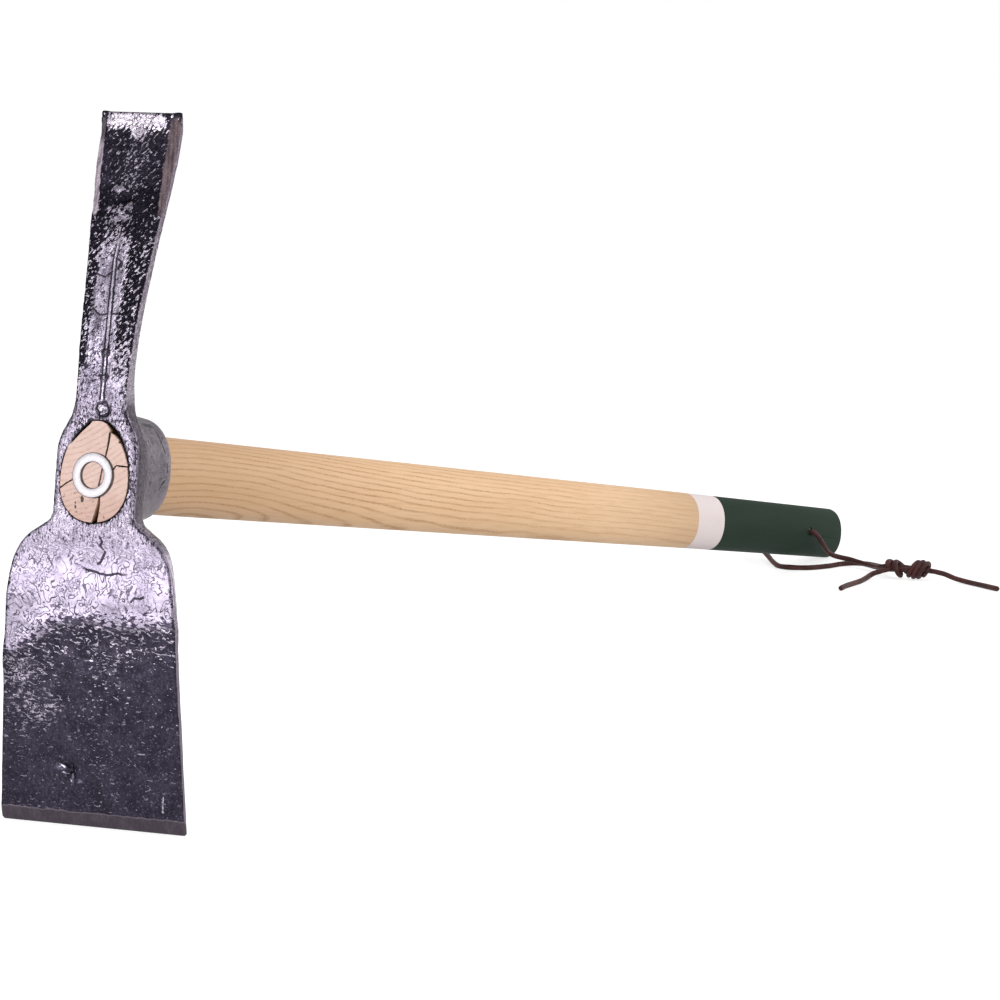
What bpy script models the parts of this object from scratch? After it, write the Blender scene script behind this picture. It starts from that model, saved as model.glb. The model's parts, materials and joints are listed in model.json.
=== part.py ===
"""Double hoe: a forged head with a wide and a narrow blade on an oval ash handle.

Metres, +Z up. The tool stands as it is put down: on the wide blade's edge and on the grip's end.
The shaft frame has x along the handle from the face of the eye to the butt, y across it, and z
along the blades, up the narrow one. stand() leans that frame so that both ends touch the floor.
"""

import math

import bmesh
import bpy
import numpy as np
from mathutils import Matrix, Vector

# Handle
HANDLE_LENGTH = 0.904
HEAD_END_HEIGHT = 0.0356
HEAD_END_DROP = 0.0009
HEAD_END_WIDTH = 0.0256
BUTT_HEIGHT = 0.0297
BUTT_WIDTH = 0.0196
BUTT_ROUND = 0.0055
TENON_PROUD = 0.0004

# Coats on the grip
BAND_LENGTH = 0.0392
GRIP_LENGTH = 0.195
COAT_WALL = 0.0008

# Cross hole and lace
HOLE_FROM_BUTT = 0.057
HOLE_DIAMETER = 0.005
LACE_DIAMETER = 0.003
KNOT_START = (-0.0112, -0.0640, 0.0064)
KNOT_END = (-0.0112, -0.0915, 0.0062)
KNOT_CORE = 0.006
KNOT_WRAP = 0.0038
KNOT_TURNS = 2.1

# Eye and collar of the head
EYE_HEIGHT = 0.0450
EYE_WIDTH = 0.0337
EYE_EGG = 0.15
EYE_DROP = 0.0014
COLLAR_LENGTH = 0.0385
RIM_WALL = 0.0042
RIM_EDGE_WALL = 0.0037
RIM_RISE = 0.0012
BOSS_WALL = 0.0041
BOSS_THICKNESS = 0.0090
COLLAR_FLARE = 0.0045

# Wide blade, measured from the handle's axis
WIDE_REACH = 0.1576
WIDE_EDGE_WIDTH = 0.0936
WIDE_SHOULDER_WIDTH = 0.0848
SHOULDER_START = 0.0205
SHOULDER_END = 0.058
WIDE_THICKNESS = 0.0040
WIDE_TIP_THICKNESS = 0.0029
WIDE_BEVEL = 0.0066
WIDE_DROOP = math.radians(9.6)
CORNER_CUT = 0.0012

# Narrow blade, measured from the handle's axis
NARROW_REACH = 0.1587
NARROW_EDGE_WIDTH = 0.0394
NECK_WIDTH = 0.0256
NECK_HEIGHT = 0.038
NARROW_THICKNESS = 0.0060
NARROW_TIP_THICKNESS = 0.0046
NARROW_BEVEL = 0.008
NARROW_DROOP = math.radians(8.7)
FACET_LENGTH = 0.047
FACET_WIDTH = 0.0040
FACET_DEPTH = 0.0016

BEND_START = 0.053
BEND_SOFTNESS = 0.006
FACE_STEP = 0.0013
CUTTING_EDGE = 0.0009
EDGE_RADIUS = 0.0013
BOSS_RADIUS = 0.0032

# Weld seam and punch mark on the narrow blade's face
SEAM_START = 0.030
SEAM_END = 0.106
SEAM_WIDTH = 0.0016
SEAM_DEPTH = 0.0007
SEAM_SIDE = -0.0012
PUNCH_HEIGHT = 0.0251
PUNCH_SIDE = -0.0020
PUNCH_DIAMETER = 0.0068
PUNCH_DEPTH = 0.0010

# Ring wedge and the splits that it opened
RING_DIAMETER = 0.0198
RING_WALL = 0.0040
RING_DEPTH = 0.012
RING_TAPER = 0.0007
RING_PROUD = 0.0007
RING_SIDE = 0.0009
RING_DROP = 0.0030
SPLIT_DEPTH = 0.007
NEAR_CHIP_DEPTH = 0.0027
FAR_CHIP_DEPTH = 0.0017

FIT_GAP = 0.0003
RING_POINTS = 48
CUT_MARGIN = 0.004


def material(name, colour, roughness, metallic=0.0):
    made = bpy.data.materials.new(name)
    made.use_nodes = True
    shader = made.node_tree.nodes["Principled BSDF"]
    shader.inputs["Base Color"].default_value = (*colour, 1.0)
    shader.inputs["Roughness"].default_value = roughness
    shader.inputs["Metallic"].default_value = metallic
    return made


def clear_scene():
    for obj in list(bpy.data.objects):
        bpy.data.objects.remove(obj, do_unlink=True)


def make_collection(name):
    collection = bpy.data.collections.new(name)
    bpy.context.scene.collection.children.link(collection)
    return collection


def add_mesh(name, bm, collection, finish=None, smooth_angle=35):
    mesh = bpy.data.meshes.new(name)
    bmesh.ops.recalc_face_normals(bm, faces=bm.faces)
    bm.to_mesh(mesh)
    bm.free()
    obj = bpy.data.objects.new(name, mesh)
    collection.objects.link(obj)
    if finish:
        mesh.materials.append(finish)
        mesh.shade_smooth()
        mesh.set_sharp_from_angle(angle=math.radians(smooth_angle))
    return obj


def skin(bm, rings, first_cap=True, last_cap=True):
    """Joins rings of points, each with as many points, into one skin with flat caps."""
    rows = [[bm.verts.new(point) for point in ring] for ring in rings]
    count = len(rows[0])
    for low, high in zip(rows, rows[1:]):
        for i in range(count):
            j = (i + 1) % count
            bm.faces.new((low[i], low[j], high[j], high[i]))
    if first_cap:
        bm.faces.new(rows[0][::-1])
    if last_cap:
        bm.faces.new(rows[-1])
    return rows


def loft(name, rings, collection, finish=None):
    bm = bmesh.new()
    skin(bm, rings)
    return add_mesh(name, bm, collection, finish)


def shell_loft(name, outer, inner, collection, finish):
    """A tube wall between two lofts. Its first end is an open ring, and the last too if the
    inner loft is as long as the outer one, else the last end is closed."""
    bm = bmesh.new()
    both_open = abs(outer[-1][0][0] - inner[-1][0][0]) < 1e-9
    out_rows = skin(bm, outer, first_cap=False, last_cap=not both_open)
    in_rows = skin(bm, inner, first_cap=False, last_cap=not both_open)
    ends = [(out_rows[0], in_rows[0])]
    if both_open:
        ends.append((out_rows[-1], in_rows[-1]))
    for out_row, in_row in ends:
        for i in range(len(out_row)):
            j = (i + 1) % len(out_row)
            bm.faces.new((out_row[i], out_row[j], in_row[j], in_row[i]))
    return add_mesh(name, bm, collection, finish)


def boolean(obj, cutter, operation="DIFFERENCE"):
    modifier = obj.modifiers.new(f"{operation.lower()}_{cutter.name}", "BOOLEAN")
    modifier.operation = operation
    modifier.object = cutter
    modifier.solver = "EXACT"


def helper(obj):
    obj.hide_render = True
    obj.display_type = "WIRE"
    return obj


def smooth_through(xs, ys, x):
    """A curve through the points that never swings past them (monotone cubic)."""
    xs, ys, x = (np.asarray(v, float) for v in (xs, ys, x))
    step = np.diff(xs)
    slope = np.diff(ys) / step
    tangent = np.zeros(len(xs))
    tangent[0], tangent[-1] = slope[0], slope[-1]
    for i in range(1, len(xs) - 1):
        if slope[i - 1] * slope[i] > 0:
            a = 2 * step[i] + step[i - 1]
            b = step[i] + 2 * step[i - 1]
            tangent[i] = (a + b) / (a / slope[i - 1] + b / slope[i])
    at = np.clip(np.searchsorted(xs, x) - 1, 0, len(xs) - 2)
    u = np.clip((x - xs[at]) / step[at], 0, 1)
    low = (1 + 2 * u) * (1 - u) ** 2 * ys[at] + u * (1 - u) ** 2 * step[at] * tangent[at]
    high = u**2 * (3 - 2 * u) * ys[at + 1] + u**2 * (u - 1) * step[at] * tangent[at + 1]
    return low + high


def angles(count=RING_POINTS):
    return np.linspace(0, 2 * math.pi, count, endpoint=False)


def oval(x, height, width, rise=0.0, egg=0.0, power=2.15):
    """One cross-section of the handle, eye or collar, square to the handle's axis."""
    turn = angles()
    c, s = np.cos(turn), np.sin(turn)
    across = np.sign(c) * np.abs(c) ** (2 / power)
    up = np.sign(s) * np.abs(s) ** (2 / power)
    y = across * width / 2 * (1 - egg * up)
    z = up * height / 2 + rise
    return [(x, *point) for point in zip(y, z)]


def handle_size(x):
    """Height and width of the finished handle at x."""
    along = x / HANDLE_LENGTH
    height = HEAD_END_HEIGHT + (BUTT_HEIGHT - HEAD_END_HEIGHT) * along
    width = HEAD_END_WIDTH + (BUTT_WIDTH - HEAD_END_WIDTH) * along
    return height, width


def handle_drop(x):
    """How far the handle's middle lies below its axis at x: nothing from the band on."""
    band_start, _ = coat_starts()
    return HEAD_END_DROP * np.clip(1 - x / band_start, 0, 1)


def eye_ring(x, shrink=0.0):
    """The eye at x: egg-shaped at the face, and a loose fit on the handle at the rim."""
    back_height, back_width = handle_size(COLLAR_LENGTH)
    along = x / COLLAR_LENGTH
    height = EYE_HEIGHT + (back_height + 2 * FIT_GAP - EYE_HEIGHT) * along
    width = EYE_WIDTH + (back_width + 2 * FIT_GAP - EYE_WIDTH) * along
    face = 1 - along
    rise = -EYE_DROP * face - handle_drop(COLLAR_LENGTH) * along
    return oval(x, height - 2 * shrink, width - 2 * shrink, rise=rise, egg=EYE_EGG * face)


def blade_offset(distance, droop):
    """How far a blade leans towards the grip at a distance from the axis, with a soft bend."""
    past = (distance - BEND_START) / BEND_SOFTNESS
    return math.tan(droop) * BEND_SOFTNESS * np.logaddexp(0, past)


def wide_half_width(d):
    boss = EYE_WIDTH / 2 + BOSS_WALL
    shoulder = WIDE_SHOULDER_WIDTH / 2
    share = smooth_through(
        (0, 0.06, 0.24, 0.37, 0.63, 1), (0, 0.04, 0.48, 0.70, 0.90, 1),
        np.clip((d - SHOULDER_START) / (SHOULDER_END - SHOULDER_START), 0, 1),
    )
    run = np.clip((d - SHOULDER_END) / (WIDE_REACH - SHOULDER_END), 0, 1)
    corner = CORNER_CUT * np.clip((d - WIDE_REACH + CORNER_CUT) / CORNER_CUT, 0, 1)
    return boss + (shoulder - boss) * share + (WIDE_EDGE_WIDTH / 2 - shoulder) * run - corner


def narrow_half_width(d):
    boss = EYE_WIDTH / 2 + BOSS_WALL
    neck = NECK_WIDTH / 2
    tip = NARROW_EDGE_WIDTH / 2
    eye_top = EYE_HEIGHT / 2
    stations = (0, eye_top * 0.4, eye_top * 0.72, eye_top * 1.06, eye_top * 1.33, NECK_HEIGHT)
    rounding = (boss, boss * 0.995, boss * 0.88, boss * 0.69, neck * 1.03, neck)
    if d <= NECK_HEIGHT:
        return float(smooth_through(stations, rounding, d))
    run = (d - NECK_HEIGHT) / (NARROW_REACH - NECK_HEIGHT)
    share = smooth_through((0, 0.13, 0.30, 0.61, 0.84, 1), (0, 0.10, 0.25, 0.68, 0.97, 1), run)
    return float(neck + (tip - neck) * share)


def plate_thickness(d, reach, body, tip, bevel):
    boss_end = EYE_HEIGHT / 2 + BOSS_WALL
    blade_start = boss_end + BOSS_THICKNESS * 2.4
    stations = (0, boss_end, blade_start, reach - bevel, reach)
    values = (BOSS_THICKNESS, BOSS_THICKNESS, body, tip, CUTTING_EDGE)
    if d >= reach - bevel:
        return float(np.interp(d, stations, values))
    return float(smooth_through(stations[:-1], values[:-1], d))


def plate_ring(z):
    """One cross-section of the forged plate, square to the shaft frame's z."""
    wide = z < 0
    d = abs(z)
    if wide:
        half = float(wide_half_width(d))
        thick = plate_thickness(d, WIDE_REACH, WIDE_THICKNESS, WIDE_TIP_THICKNESS, WIDE_BEVEL)
        lean = float(blade_offset(d, WIDE_DROOP))
        body = plate_thickness(
            min(d, WIDE_REACH - WIDE_BEVEL),
            WIDE_REACH, WIDE_THICKNESS, WIDE_TIP_THICKNESS, WIDE_BEVEL,
        )
    else:
        half = narrow_half_width(d)
        thick = plate_thickness(
            d, NARROW_REACH, NARROW_THICKNESS, NARROW_TIP_THICKNESS, NARROW_BEVEL
        )
        lean = float(blade_offset(d, NARROW_DROOP))
        body = thick
    step = FACE_STEP * min(1, 2 * (BOSS_THICKNESS - body) / BOSS_THICKNESS)
    back = step + lean + body
    front = back - thick
    facet = 0.0
    if not wide:
        start = NARROW_REACH - FACET_LENGTH
        facet = float(np.clip((d - start) / (FACET_LENGTH * 0.08), 0, 1))
    radius = min(EDGE_RADIUS, thick * 0.45)
    boss_end = EYE_HEIGHT / 2 + BOSS_WALL
    on_boss = float(smooth_through((boss_end * 0.8, boss_end * 1.5), (1, 0), d))
    front_radius = radius + (BOSS_RADIUS - radius) * on_boss
    cut_across = front_radius + (FACET_WIDTH - front_radius) * facet
    cut_deep = front_radius + (min(FACET_DEPTH, thick * 0.55) - front_radius) * facet
    return section_points(half, front, back, cut_across, cut_deep, radius, facet)


def section_points(half, front, back, cut_across, cut_deep, radius, straight):
    """A flat bar's section: front corners cut by cut_across and cut_deep, back ones rounded."""
    corner_steps = 3
    side_steps = 7
    turn = np.linspace(0, math.pi / 2, corner_steps + 1)
    points = []

    def corner(across, deep, face, side, into, flat):
        for angle in turn:
            u = angle / (math.pi / 2)
            y = (half - across) + across * ((1 - flat) * math.sin(angle) + flat * u)
            x = face + into * deep * ((1 - flat) * (1 - math.cos(angle)) + flat * u)
            points.append((x, side * y))

    corner(cut_across, cut_deep, front, 1, 1, straight)
    turn = turn[::-1]
    corner(radius, radius, back, 1, -1, 0)
    across = half - radius
    for y in np.linspace(across, -across, side_steps + 1)[1:-1]:
        points.append((back, y))
    turn = turn[::-1]
    corner(radius, radius, back, -1, -1, 0)
    turn = turn[::-1]
    corner(cut_across, cut_deep, front, -1, 1, straight)
    across = half - cut_across
    for y in np.linspace(-across, across, side_steps + 1)[1:-1]:
        points.append((front, y))
    return points


def plate_stations():
    """Heights of the plate's cross-sections, closer together where the outline curves."""
    wide = [WIDE_REACH, WIDE_REACH - CORNER_CUT, WIDE_REACH - WIDE_BEVEL]
    wide += list(np.linspace(WIDE_REACH - WIDE_BEVEL, SHOULDER_END, 10)[1:])
    wide += list(np.linspace(SHOULDER_END, SHOULDER_START, 14)[1:])
    boss = list(np.linspace(-SHOULDER_START, NECK_HEIGHT, 20)[1:])
    facet_start = NARROW_REACH - FACET_LENGTH
    narrow = list(np.linspace(NECK_HEIGHT, facet_start, 12)[1:])
    narrow += list(facet_start + FACET_LENGTH * np.array([0.08, 0.3, 0.5, 0.68]))
    narrow += [NARROW_REACH - NARROW_BEVEL, NARROW_REACH]
    return [-d for d in wide] + boss + narrow


def make_plate(collection, finish):
    rings = [[(x, y, z) for x, y in plate_ring(z)] for z in plate_stations()]
    return loft("hoe_head", rings, collection, finish)


def make_collar(collection):
    """The socket behind the plate: a cone from the boss to the rim, flared where it leaves."""
    rim_height, rim_width = handle_size(COLLAR_LENGTH)
    rim_height += 2 * (FIT_GAP + RIM_EDGE_WALL)
    rim_width += 2 * (FIT_GAP + RIM_WALL)
    boss_width = EYE_WIDTH + 2 * BOSS_WALL - 2 * FIT_GAP
    boss_height = EYE_HEIGHT + 2 * BOSS_WALL
    start = BOSS_THICKNESS * 0.3
    rim_round = RIM_WALL * 0.35
    stops = list(np.linspace(start, BOSS_THICKNESS + 2 * COLLAR_FLARE, 9))
    stops += list(np.linspace(stops[-1], COLLAR_LENGTH - rim_round, 5)[1:])
    rings = []
    for x in stops:
        along = (x - start) / (COLLAR_LENGTH - start)
        near = np.clip((x - BOSS_THICKNESS) / (2 * COLLAR_FLARE), 0, 1)
        flare = COLLAR_FLARE * (1 - math.sqrt(1 - (1 - near) ** 2))
        height = boss_height + (rim_height + 2 * RIM_RISE - boss_height) * along + 2 * flare
        width = boss_width + (rim_width - boss_width) * along
        rings.append(oval(x, height, width, rise=RIM_RISE * along))
    last = rings[-1]
    for share in (0.5, 1.0):
        x = COLLAR_LENGTH - rim_round * (1 - share)
        inset = rim_round * (1 - math.sqrt(1 - share**2 * 0.99))
        rings.append(
            [
                (
                    x,
                    y * (1 - 2 * inset / rim_width),
                    RIM_RISE + (z - RIM_RISE) * (1 - 2 * inset / rim_height),
                )
                for _, y, z in last
            ]
        )
    return helper(loft("cut_collar", rings, collection))


def make_eye_cutter(collection):
    stops = np.linspace(-CUT_MARGIN, COLLAR_LENGTH + CUT_MARGIN, 8)
    return helper(loft("cut_eye", [eye_ring(x) for x in stops], collection))


def plate_face(z):
    """Where the plate's front face is at height z."""
    return min(x for x, _ in plate_ring(z))


def make_seam_cutter(collection):
    """A shallow V up the narrow blade's face, beside its middle below and on it above."""
    rings = []
    for z in np.linspace(SEAM_START, SEAM_END, 9):
        face = plate_face(z)
        along = (z - SEAM_START) / (SEAM_END - SEAM_START)
        y = SEAM_SIDE * (1 - along)
        fade = math.sin(math.pi * (0.12 + 0.76 * along))
        half, deep = SEAM_WIDTH / 2 * fade, SEAM_DEPTH * fade
        above = CUT_MARGIN / 4
        rings.append([
            (face - above, y + half, z), (face, y + half, z), (face + deep, y, z),
            (face, y - half, z), (face - above, y - half, z),
        ])
    return helper(loft("cut_seam", rings, collection))


def make_punch_cutter(collection):
    """A round dished mark with a pip left in its middle, so the cutter is a turned profile."""
    face = plate_face(PUNCH_HEIGHT)
    radius = PUNCH_DIAMETER / 2
    profile = (
        (0, -CUT_MARGIN / 4), (radius, -CUT_MARGIN / 4), (radius, 0),
        (radius * 0.7, PUNCH_DEPTH), (radius * 0.45, PUNCH_DEPTH * 0.9), (0, PUNCH_DEPTH * 0.25),
    )
    rings = []
    for out, deep in profile[1:-1]:
        rings.append([
            (face + deep, PUNCH_SIDE + out * math.cos(a), PUNCH_HEIGHT + out * math.sin(a))
            for a in angles(20)
        ])
    bm = bmesh.new()
    rows = skin(bm, rings, first_cap=True, last_cap=False)
    tip = bm.verts.new((face + profile[-1][1], PUNCH_SIDE, PUNCH_HEIGHT))
    for i, corner in enumerate(rows[-1]):
        bm.faces.new((corner, rows[-1][(i + 1) % len(rows[-1])], tip))
    return helper(add_mesh("cut_punch", bm, collection))


def make_head(parts, cutters, finish):
    head = make_plate(parts, finish)
    boolean(head, make_collar(cutters), "UNION")
    boolean(head, make_eye_cutter(cutters))
    boolean(head, make_seam_cutter(cutters))
    boolean(head, make_punch_cutter(cutters))
    return head


def ring_profile(radius, x):
    return [(x, RING_SIDE + radius * math.cos(a), -RING_DROP + radius * math.sin(a)) for a in angles()]


def ring_radii(x, gap=0.0):
    """Outer and inner radius of the wedge at x: it thins towards its driven end."""
    along = (x + RING_PROUD) / (RING_DEPTH + RING_PROUD)
    outer = RING_DIAMETER / 2 - RING_TAPER * along + gap
    inner = RING_DIAMETER / 2 - RING_WALL + RING_TAPER * along - gap
    return outer, inner


def tube_wall(name, stops, radii, collection, finish=None):
    outer = [ring_profile(radii(x)[0], x) for x in stops]
    inner = [ring_profile(radii(x)[1], x) for x in stops]
    return shell_loft(name, outer, inner, collection, finish)


def make_ring_wedge(parts, finish):
    ring = tube_wall("ring_wedge", (-RING_PROUD, RING_DEPTH), ring_radii, parts, finish)
    bevel = ring.modifiers.new("edges", "BEVEL")
    bevel.width = 0.0003
    bevel.segments = 2
    bevel.limit_method = "ANGLE"
    return ring


def make_ring_groove(collection):
    stops = (-CUT_MARGIN, RING_DEPTH + FIT_GAP)
    return helper(
        tube_wall("cut_ring", stops, lambda x: ring_radii(max(x, -RING_PROUD), FIT_GAP), collection)
    )


def eye_point(angle, beyond=1.0):
    """A point of the tenon's outline at the face, by its angle as the oval counts it."""
    y = EYE_WIDTH / 2 * beyond * math.cos(angle) * (1 - EYE_EGG * math.sin(angle))
    return np.array((y, EYE_HEIGHT / 2 * beyond * math.sin(angle) - EYE_DROP))


def make_split_cutters(collection):
    """The four splits that the ring wedge opened in the tenon's end, each wider at the wall.
    A split runs from the ring at one angle to the wall at another, with a kink on its way."""
    splits = {
        "top": (135, 114, 0.5, 0.0007, 0.0005, 0.0009),
        "side": (172, 174, 0.40, -0.0026, 0.0006, 0.0006),
        "bottom": (237, 267, 0.35, -0.0006, 0.0006, 0.0034),
        "far_side": (-10, -22, 0.5, 0.0004, 0.0004, 0.0008),
    }
    made = []
    for name, (ring_angle, wall_angle, share, kink, narrow, wide) in splits.items():
        ring_angle = math.radians(ring_angle)
        reach = RING_DIAMETER / 2 - RING_WALL / 2
        centre = np.array((RING_SIDE, -RING_DROP))
        start = centre + reach * np.array((math.cos(ring_angle), math.sin(ring_angle)))
        end = eye_point(math.radians(wall_angle), 1.12)
        way = end - start
        normal = np.array((-way[1], way[0])) / np.linalg.norm(way)
        path = np.array([start, start + way * share + normal * kink, end])
        half = np.interp((0, share, 1), (0, 1), (narrow / 2, wide / 2))[:, None]
        outline = np.concatenate([path + normal * half, (path - normal * half)[::-1]])
        rings = [[(x, y, z) for y, z in outline] for x in (-CUT_MARGIN, SPLIT_DEPTH)]
        made.append(helper(loft(f"cut_split_{name}", rings, collection)))
    return made


def make_chip_cutters(collection):
    """Wood missing between tenon and eye at its top, a crescent along the wall on either side."""
    chips = {"near": (98, 176, NEAR_CHIP_DEPTH), "far": (30, 80, FAR_CHIP_DEPTH)}
    made = []
    for name, (first, last, depth) in chips.items():
        arc = np.radians(np.linspace(first, last, 9))
        missing = depth * np.sin(np.linspace(0, math.pi, 9)) ** 0.5
        outer = [eye_point(a, 1.1) for a in arc]
        inner = [eye_point(a, 1 - 2 * deep / EYE_HEIGHT * 1.15) for a, deep in zip(arc, missing)]
        outline = outer + inner[::-1]
        rings = [[(x, y, z) for y, z in outline] for x in (-CUT_MARGIN, SPLIT_DEPTH)]
        made.append(helper(loft(f"cut_chip_{name}", rings, collection)))
    return made


def end_rounding(inset=0.0):
    """Stations near the butt and how far the section shrinks there, as a quarter circle."""
    radius = BUTT_ROUND - inset
    end = HANDLE_LENGTH - inset
    return [
        (end - radius * (1 - math.sin(a)), radius * (1 - math.cos(a)))
        for a in np.linspace(0, math.pi / 2, 6)
    ]


def grip_rings(start, inset=0.0):
    """Rings of the handle's outer form, moved in by inset, from start to the rounded butt."""
    rings = []
    body = [(x, 0.0) for x in np.linspace(start, end_rounding(inset)[0][0], 4)[:-1]]
    for x, shrink in body + end_rounding(inset):
        height, width = handle_size(x)
        cut = 2 * (inset + shrink)
        rings.append(oval(x, height - cut, width - cut))
    return rings


def coat_starts():
    grip = HANDLE_LENGTH - GRIP_LENGTH
    return grip - BAND_LENGTH, grip


def make_handle(parts, cutters, finish):
    """Tenon, shaft, and the thinner core that the two coats sit on."""
    band_start, _ = coat_starts()
    stops = np.linspace(-TENON_PROUD, COLLAR_LENGTH - FIT_GAP, 6)
    rings = [eye_ring(x, shrink=FIT_GAP) for x in stops]
    for x in np.linspace(COLLAR_LENGTH, band_start, 5):
        rings.append(oval(x, *handle_size(x), rise=-handle_drop(x)))
    rings += grip_rings(band_start, COAT_WALL + FIT_GAP)
    handle = loft("handle", rings, parts, finish)
    boolean(handle, make_ring_groove(cutters))
    for cutter in make_split_cutters(cutters):
        boolean(handle, cutter)
    for cutter in make_chip_cutters(cutters):
        boolean(handle, cutter)
    boolean(handle, make_hole_cutter(cutters))
    return handle


def make_hole_cutter(collection):
    x = HANDLE_LENGTH - HOLE_FROM_BUTT
    rings = []
    for y in (-BUTT_WIDTH, BUTT_WIDTH):
        rings.append([
            (x + HOLE_DIAMETER / 2 * math.cos(a), y, HOLE_DIAMETER / 2 * math.sin(a))
            for a in angles(24)
        ])
    return helper(loft("cut_hole", rings, collection))


def make_white_band(parts, finish):
    start, end = coat_starts()
    stops = np.linspace(start + FIT_GAP, end - FIT_GAP / 2, 4)
    outer, inner = [], []
    for x in stops:
        height, width = handle_size(x)
        outer.append(oval(x, height, width))
        inner.append(oval(x, height - 2 * COAT_WALL, width - 2 * COAT_WALL))
    return shell_loft("white_band", outer, inner, parts, finish)


def make_grip_coat(parts, cutter, finish):
    start = coat_starts()[1] + FIT_GAP / 2
    coat = shell_loft(
        "grip_coat", grip_rings(start), grip_rings(start, COAT_WALL), parts, finish
    )
    boolean(coat, cutter)
    return coat


def smooth_route(points, spacing):
    """Evenly spaced points on a smooth curve through the route's own points."""
    points = np.array(points, float)
    ends = np.vstack([2 * points[0] - points[1], points, 2 * points[-1] - points[-2]])
    fine = []
    for a, b, c, d in zip(ends, ends[1:], ends[2:], ends[3:]):
        for u in np.linspace(0, 1, 24, endpoint=False):
            fine.append(
                b + 0.5 * u * (c - a + u * (2 * a - 5 * b + 4 * c - d + u * (3 * (b - c) + d - a)))
            )
    fine = np.array([*fine, points[-1]])
    along = np.concatenate([[0], np.cumsum(np.linalg.norm(np.diff(fine, axis=0), axis=1))])
    at = np.linspace(0, along[-1], max(2, round(along[-1] / spacing)) + 1)
    return np.stack([np.interp(at, along, fine[:, k]) for k in range(3)], axis=1)


def tube(name, points, diameter, collection, finish=None):
    curve = bpy.data.curves.new(name, "CURVE")
    curve.dimensions = "3D"
    curve.bevel_depth = diameter / 2
    curve.bevel_resolution = 2
    curve.use_fill_caps = True
    spline = curve.splines.new("POLY")
    spline.points.add(len(points) - 1)
    for point, place in zip(spline.points, points):
        point.co = (*place, 1)
    obj = bpy.data.objects.new(name, curve)
    collection.objects.link(obj)
    if finish:
        curve.materials.append(finish)
    return obj


def as_mesh(obj):
    """The same tube as a closed mesh, which a Boolean can take."""
    mesh = bpy.data.meshes.new_from_object(obj.evaluated_get(bpy.context.evaluated_depsgraph_get()))
    bm = bmesh.new()
    bm.from_mesh(mesh)
    bmesh.ops.remove_doubles(bm, verts=bm.verts, dist=0.00001)
    bm.to_mesh(mesh)
    bm.free()
    made = bpy.data.objects.new(obj.name + "_mesh", mesh)
    made.matrix_world = obj.matrix_world
    for collection in obj.users_collection:
        collection.objects.link(made)
    bpy.data.objects.remove(obj, do_unlink=True)
    return made


def lace_routes(hole_height):
    """The lace's runs. Each starts at its end nearer the grip, x counts from the cross hole,
    and z from the floor that the lace lies on."""
    inside = hole_height - HOLE_DIAMETER / 2 + LACE_DIAMETER / 2 + FIT_GAP
    mouth = handle_size(HANDLE_LENGTH - HOLE_FROM_BUTT)[1] / 2 + FIT_GAP
    half_gap = FIT_GAP / 2
    near = [
        (0, -half_gap, inside), (0, -mouth * 0.6, inside), (0.0002, -mouth - 0.0012, inside + 0.0001),
        (0.0012, -0.0143, 0.0200), (0.0045, -0.0162, 0.0150), (0.0105, -0.0165, 0.0103),
        (0.0160, -0.0182, 0.0071), (0.0187, -0.0225, 0.0055), (0.0180, -0.0285, 0.0048),
        (0.0160, -0.0350, 0.0038), (0.0105, -0.0430, 0.0035), (0.0020, -0.0505, 0.0040),
        (-0.0070, -0.0565, 0.0055), (-0.0105, -0.0610, 0.0066),
    ]
    far = [
        (0, half_gap, inside), (0, mouth * 0.6, inside), (0.0002, mouth + 0.0012, inside + 0.0001),
        (0.0048, 0.0146, 0.0200), (0.0125, 0.0195, 0.0145), (0.0205, 0.0245, 0.0108),
        (0.0262, 0.0290, 0.0082), (0.0270, 0.0315, 0.0070), (0.0215, 0.0290, 0.0059),
        (0.0135, 0.0225, 0.0042), (0.0030, 0.0150, 0.0025), (-0.0052, 0.0080, 0.0017),
        (-0.0070, 0.0000, 0.0016), (-0.0035, -0.0105, 0.0016), (0.0075, -0.0185, 0.0016),
        (0.0195, -0.0230, 0.0016), (0.0258, -0.0295, 0.0016), (0.0240, -0.0385, 0.0017),
        (0.0165, -0.0470, 0.0022), (0.0070, -0.0545, 0.0032), (-0.0020, -0.0585, 0.0042),
        (-0.0060, -0.0610, 0.0050),
    ]
    long_tail = [
        (-0.0112, -0.0945, 0.0054), (-0.0112, -0.0990, 0.0046), (-0.0120, -0.1050, 0.0028),
        (-0.0135, -0.1110, 0.0018), (-0.0180, -0.1180, 0.0016), (-0.0235, -0.1260, 0.0016),
        (-0.0285, -0.1330, 0.0016), (-0.0330, -0.1395, 0.0016),
    ]
    short_tail = [
        (-0.0165, -0.0610, 0.0046), (-0.0185, -0.0575, 0.0034), (-0.0230, -0.0560, 0.0022),
        (-0.0310, -0.0562, 0.0016), (-0.0400, -0.0568, 0.0016), (-0.0500, -0.0562, 0.0016),
        (-0.0600, -0.0556, 0.0016), (-0.0700, -0.0562, 0.0016),
    ]
    return {
        "thong_near_strand": near,
        "thong_far_strand": far,
        "thong_long_tail": long_tail,
        "thong_short_tail": short_tail,
    }


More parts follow.
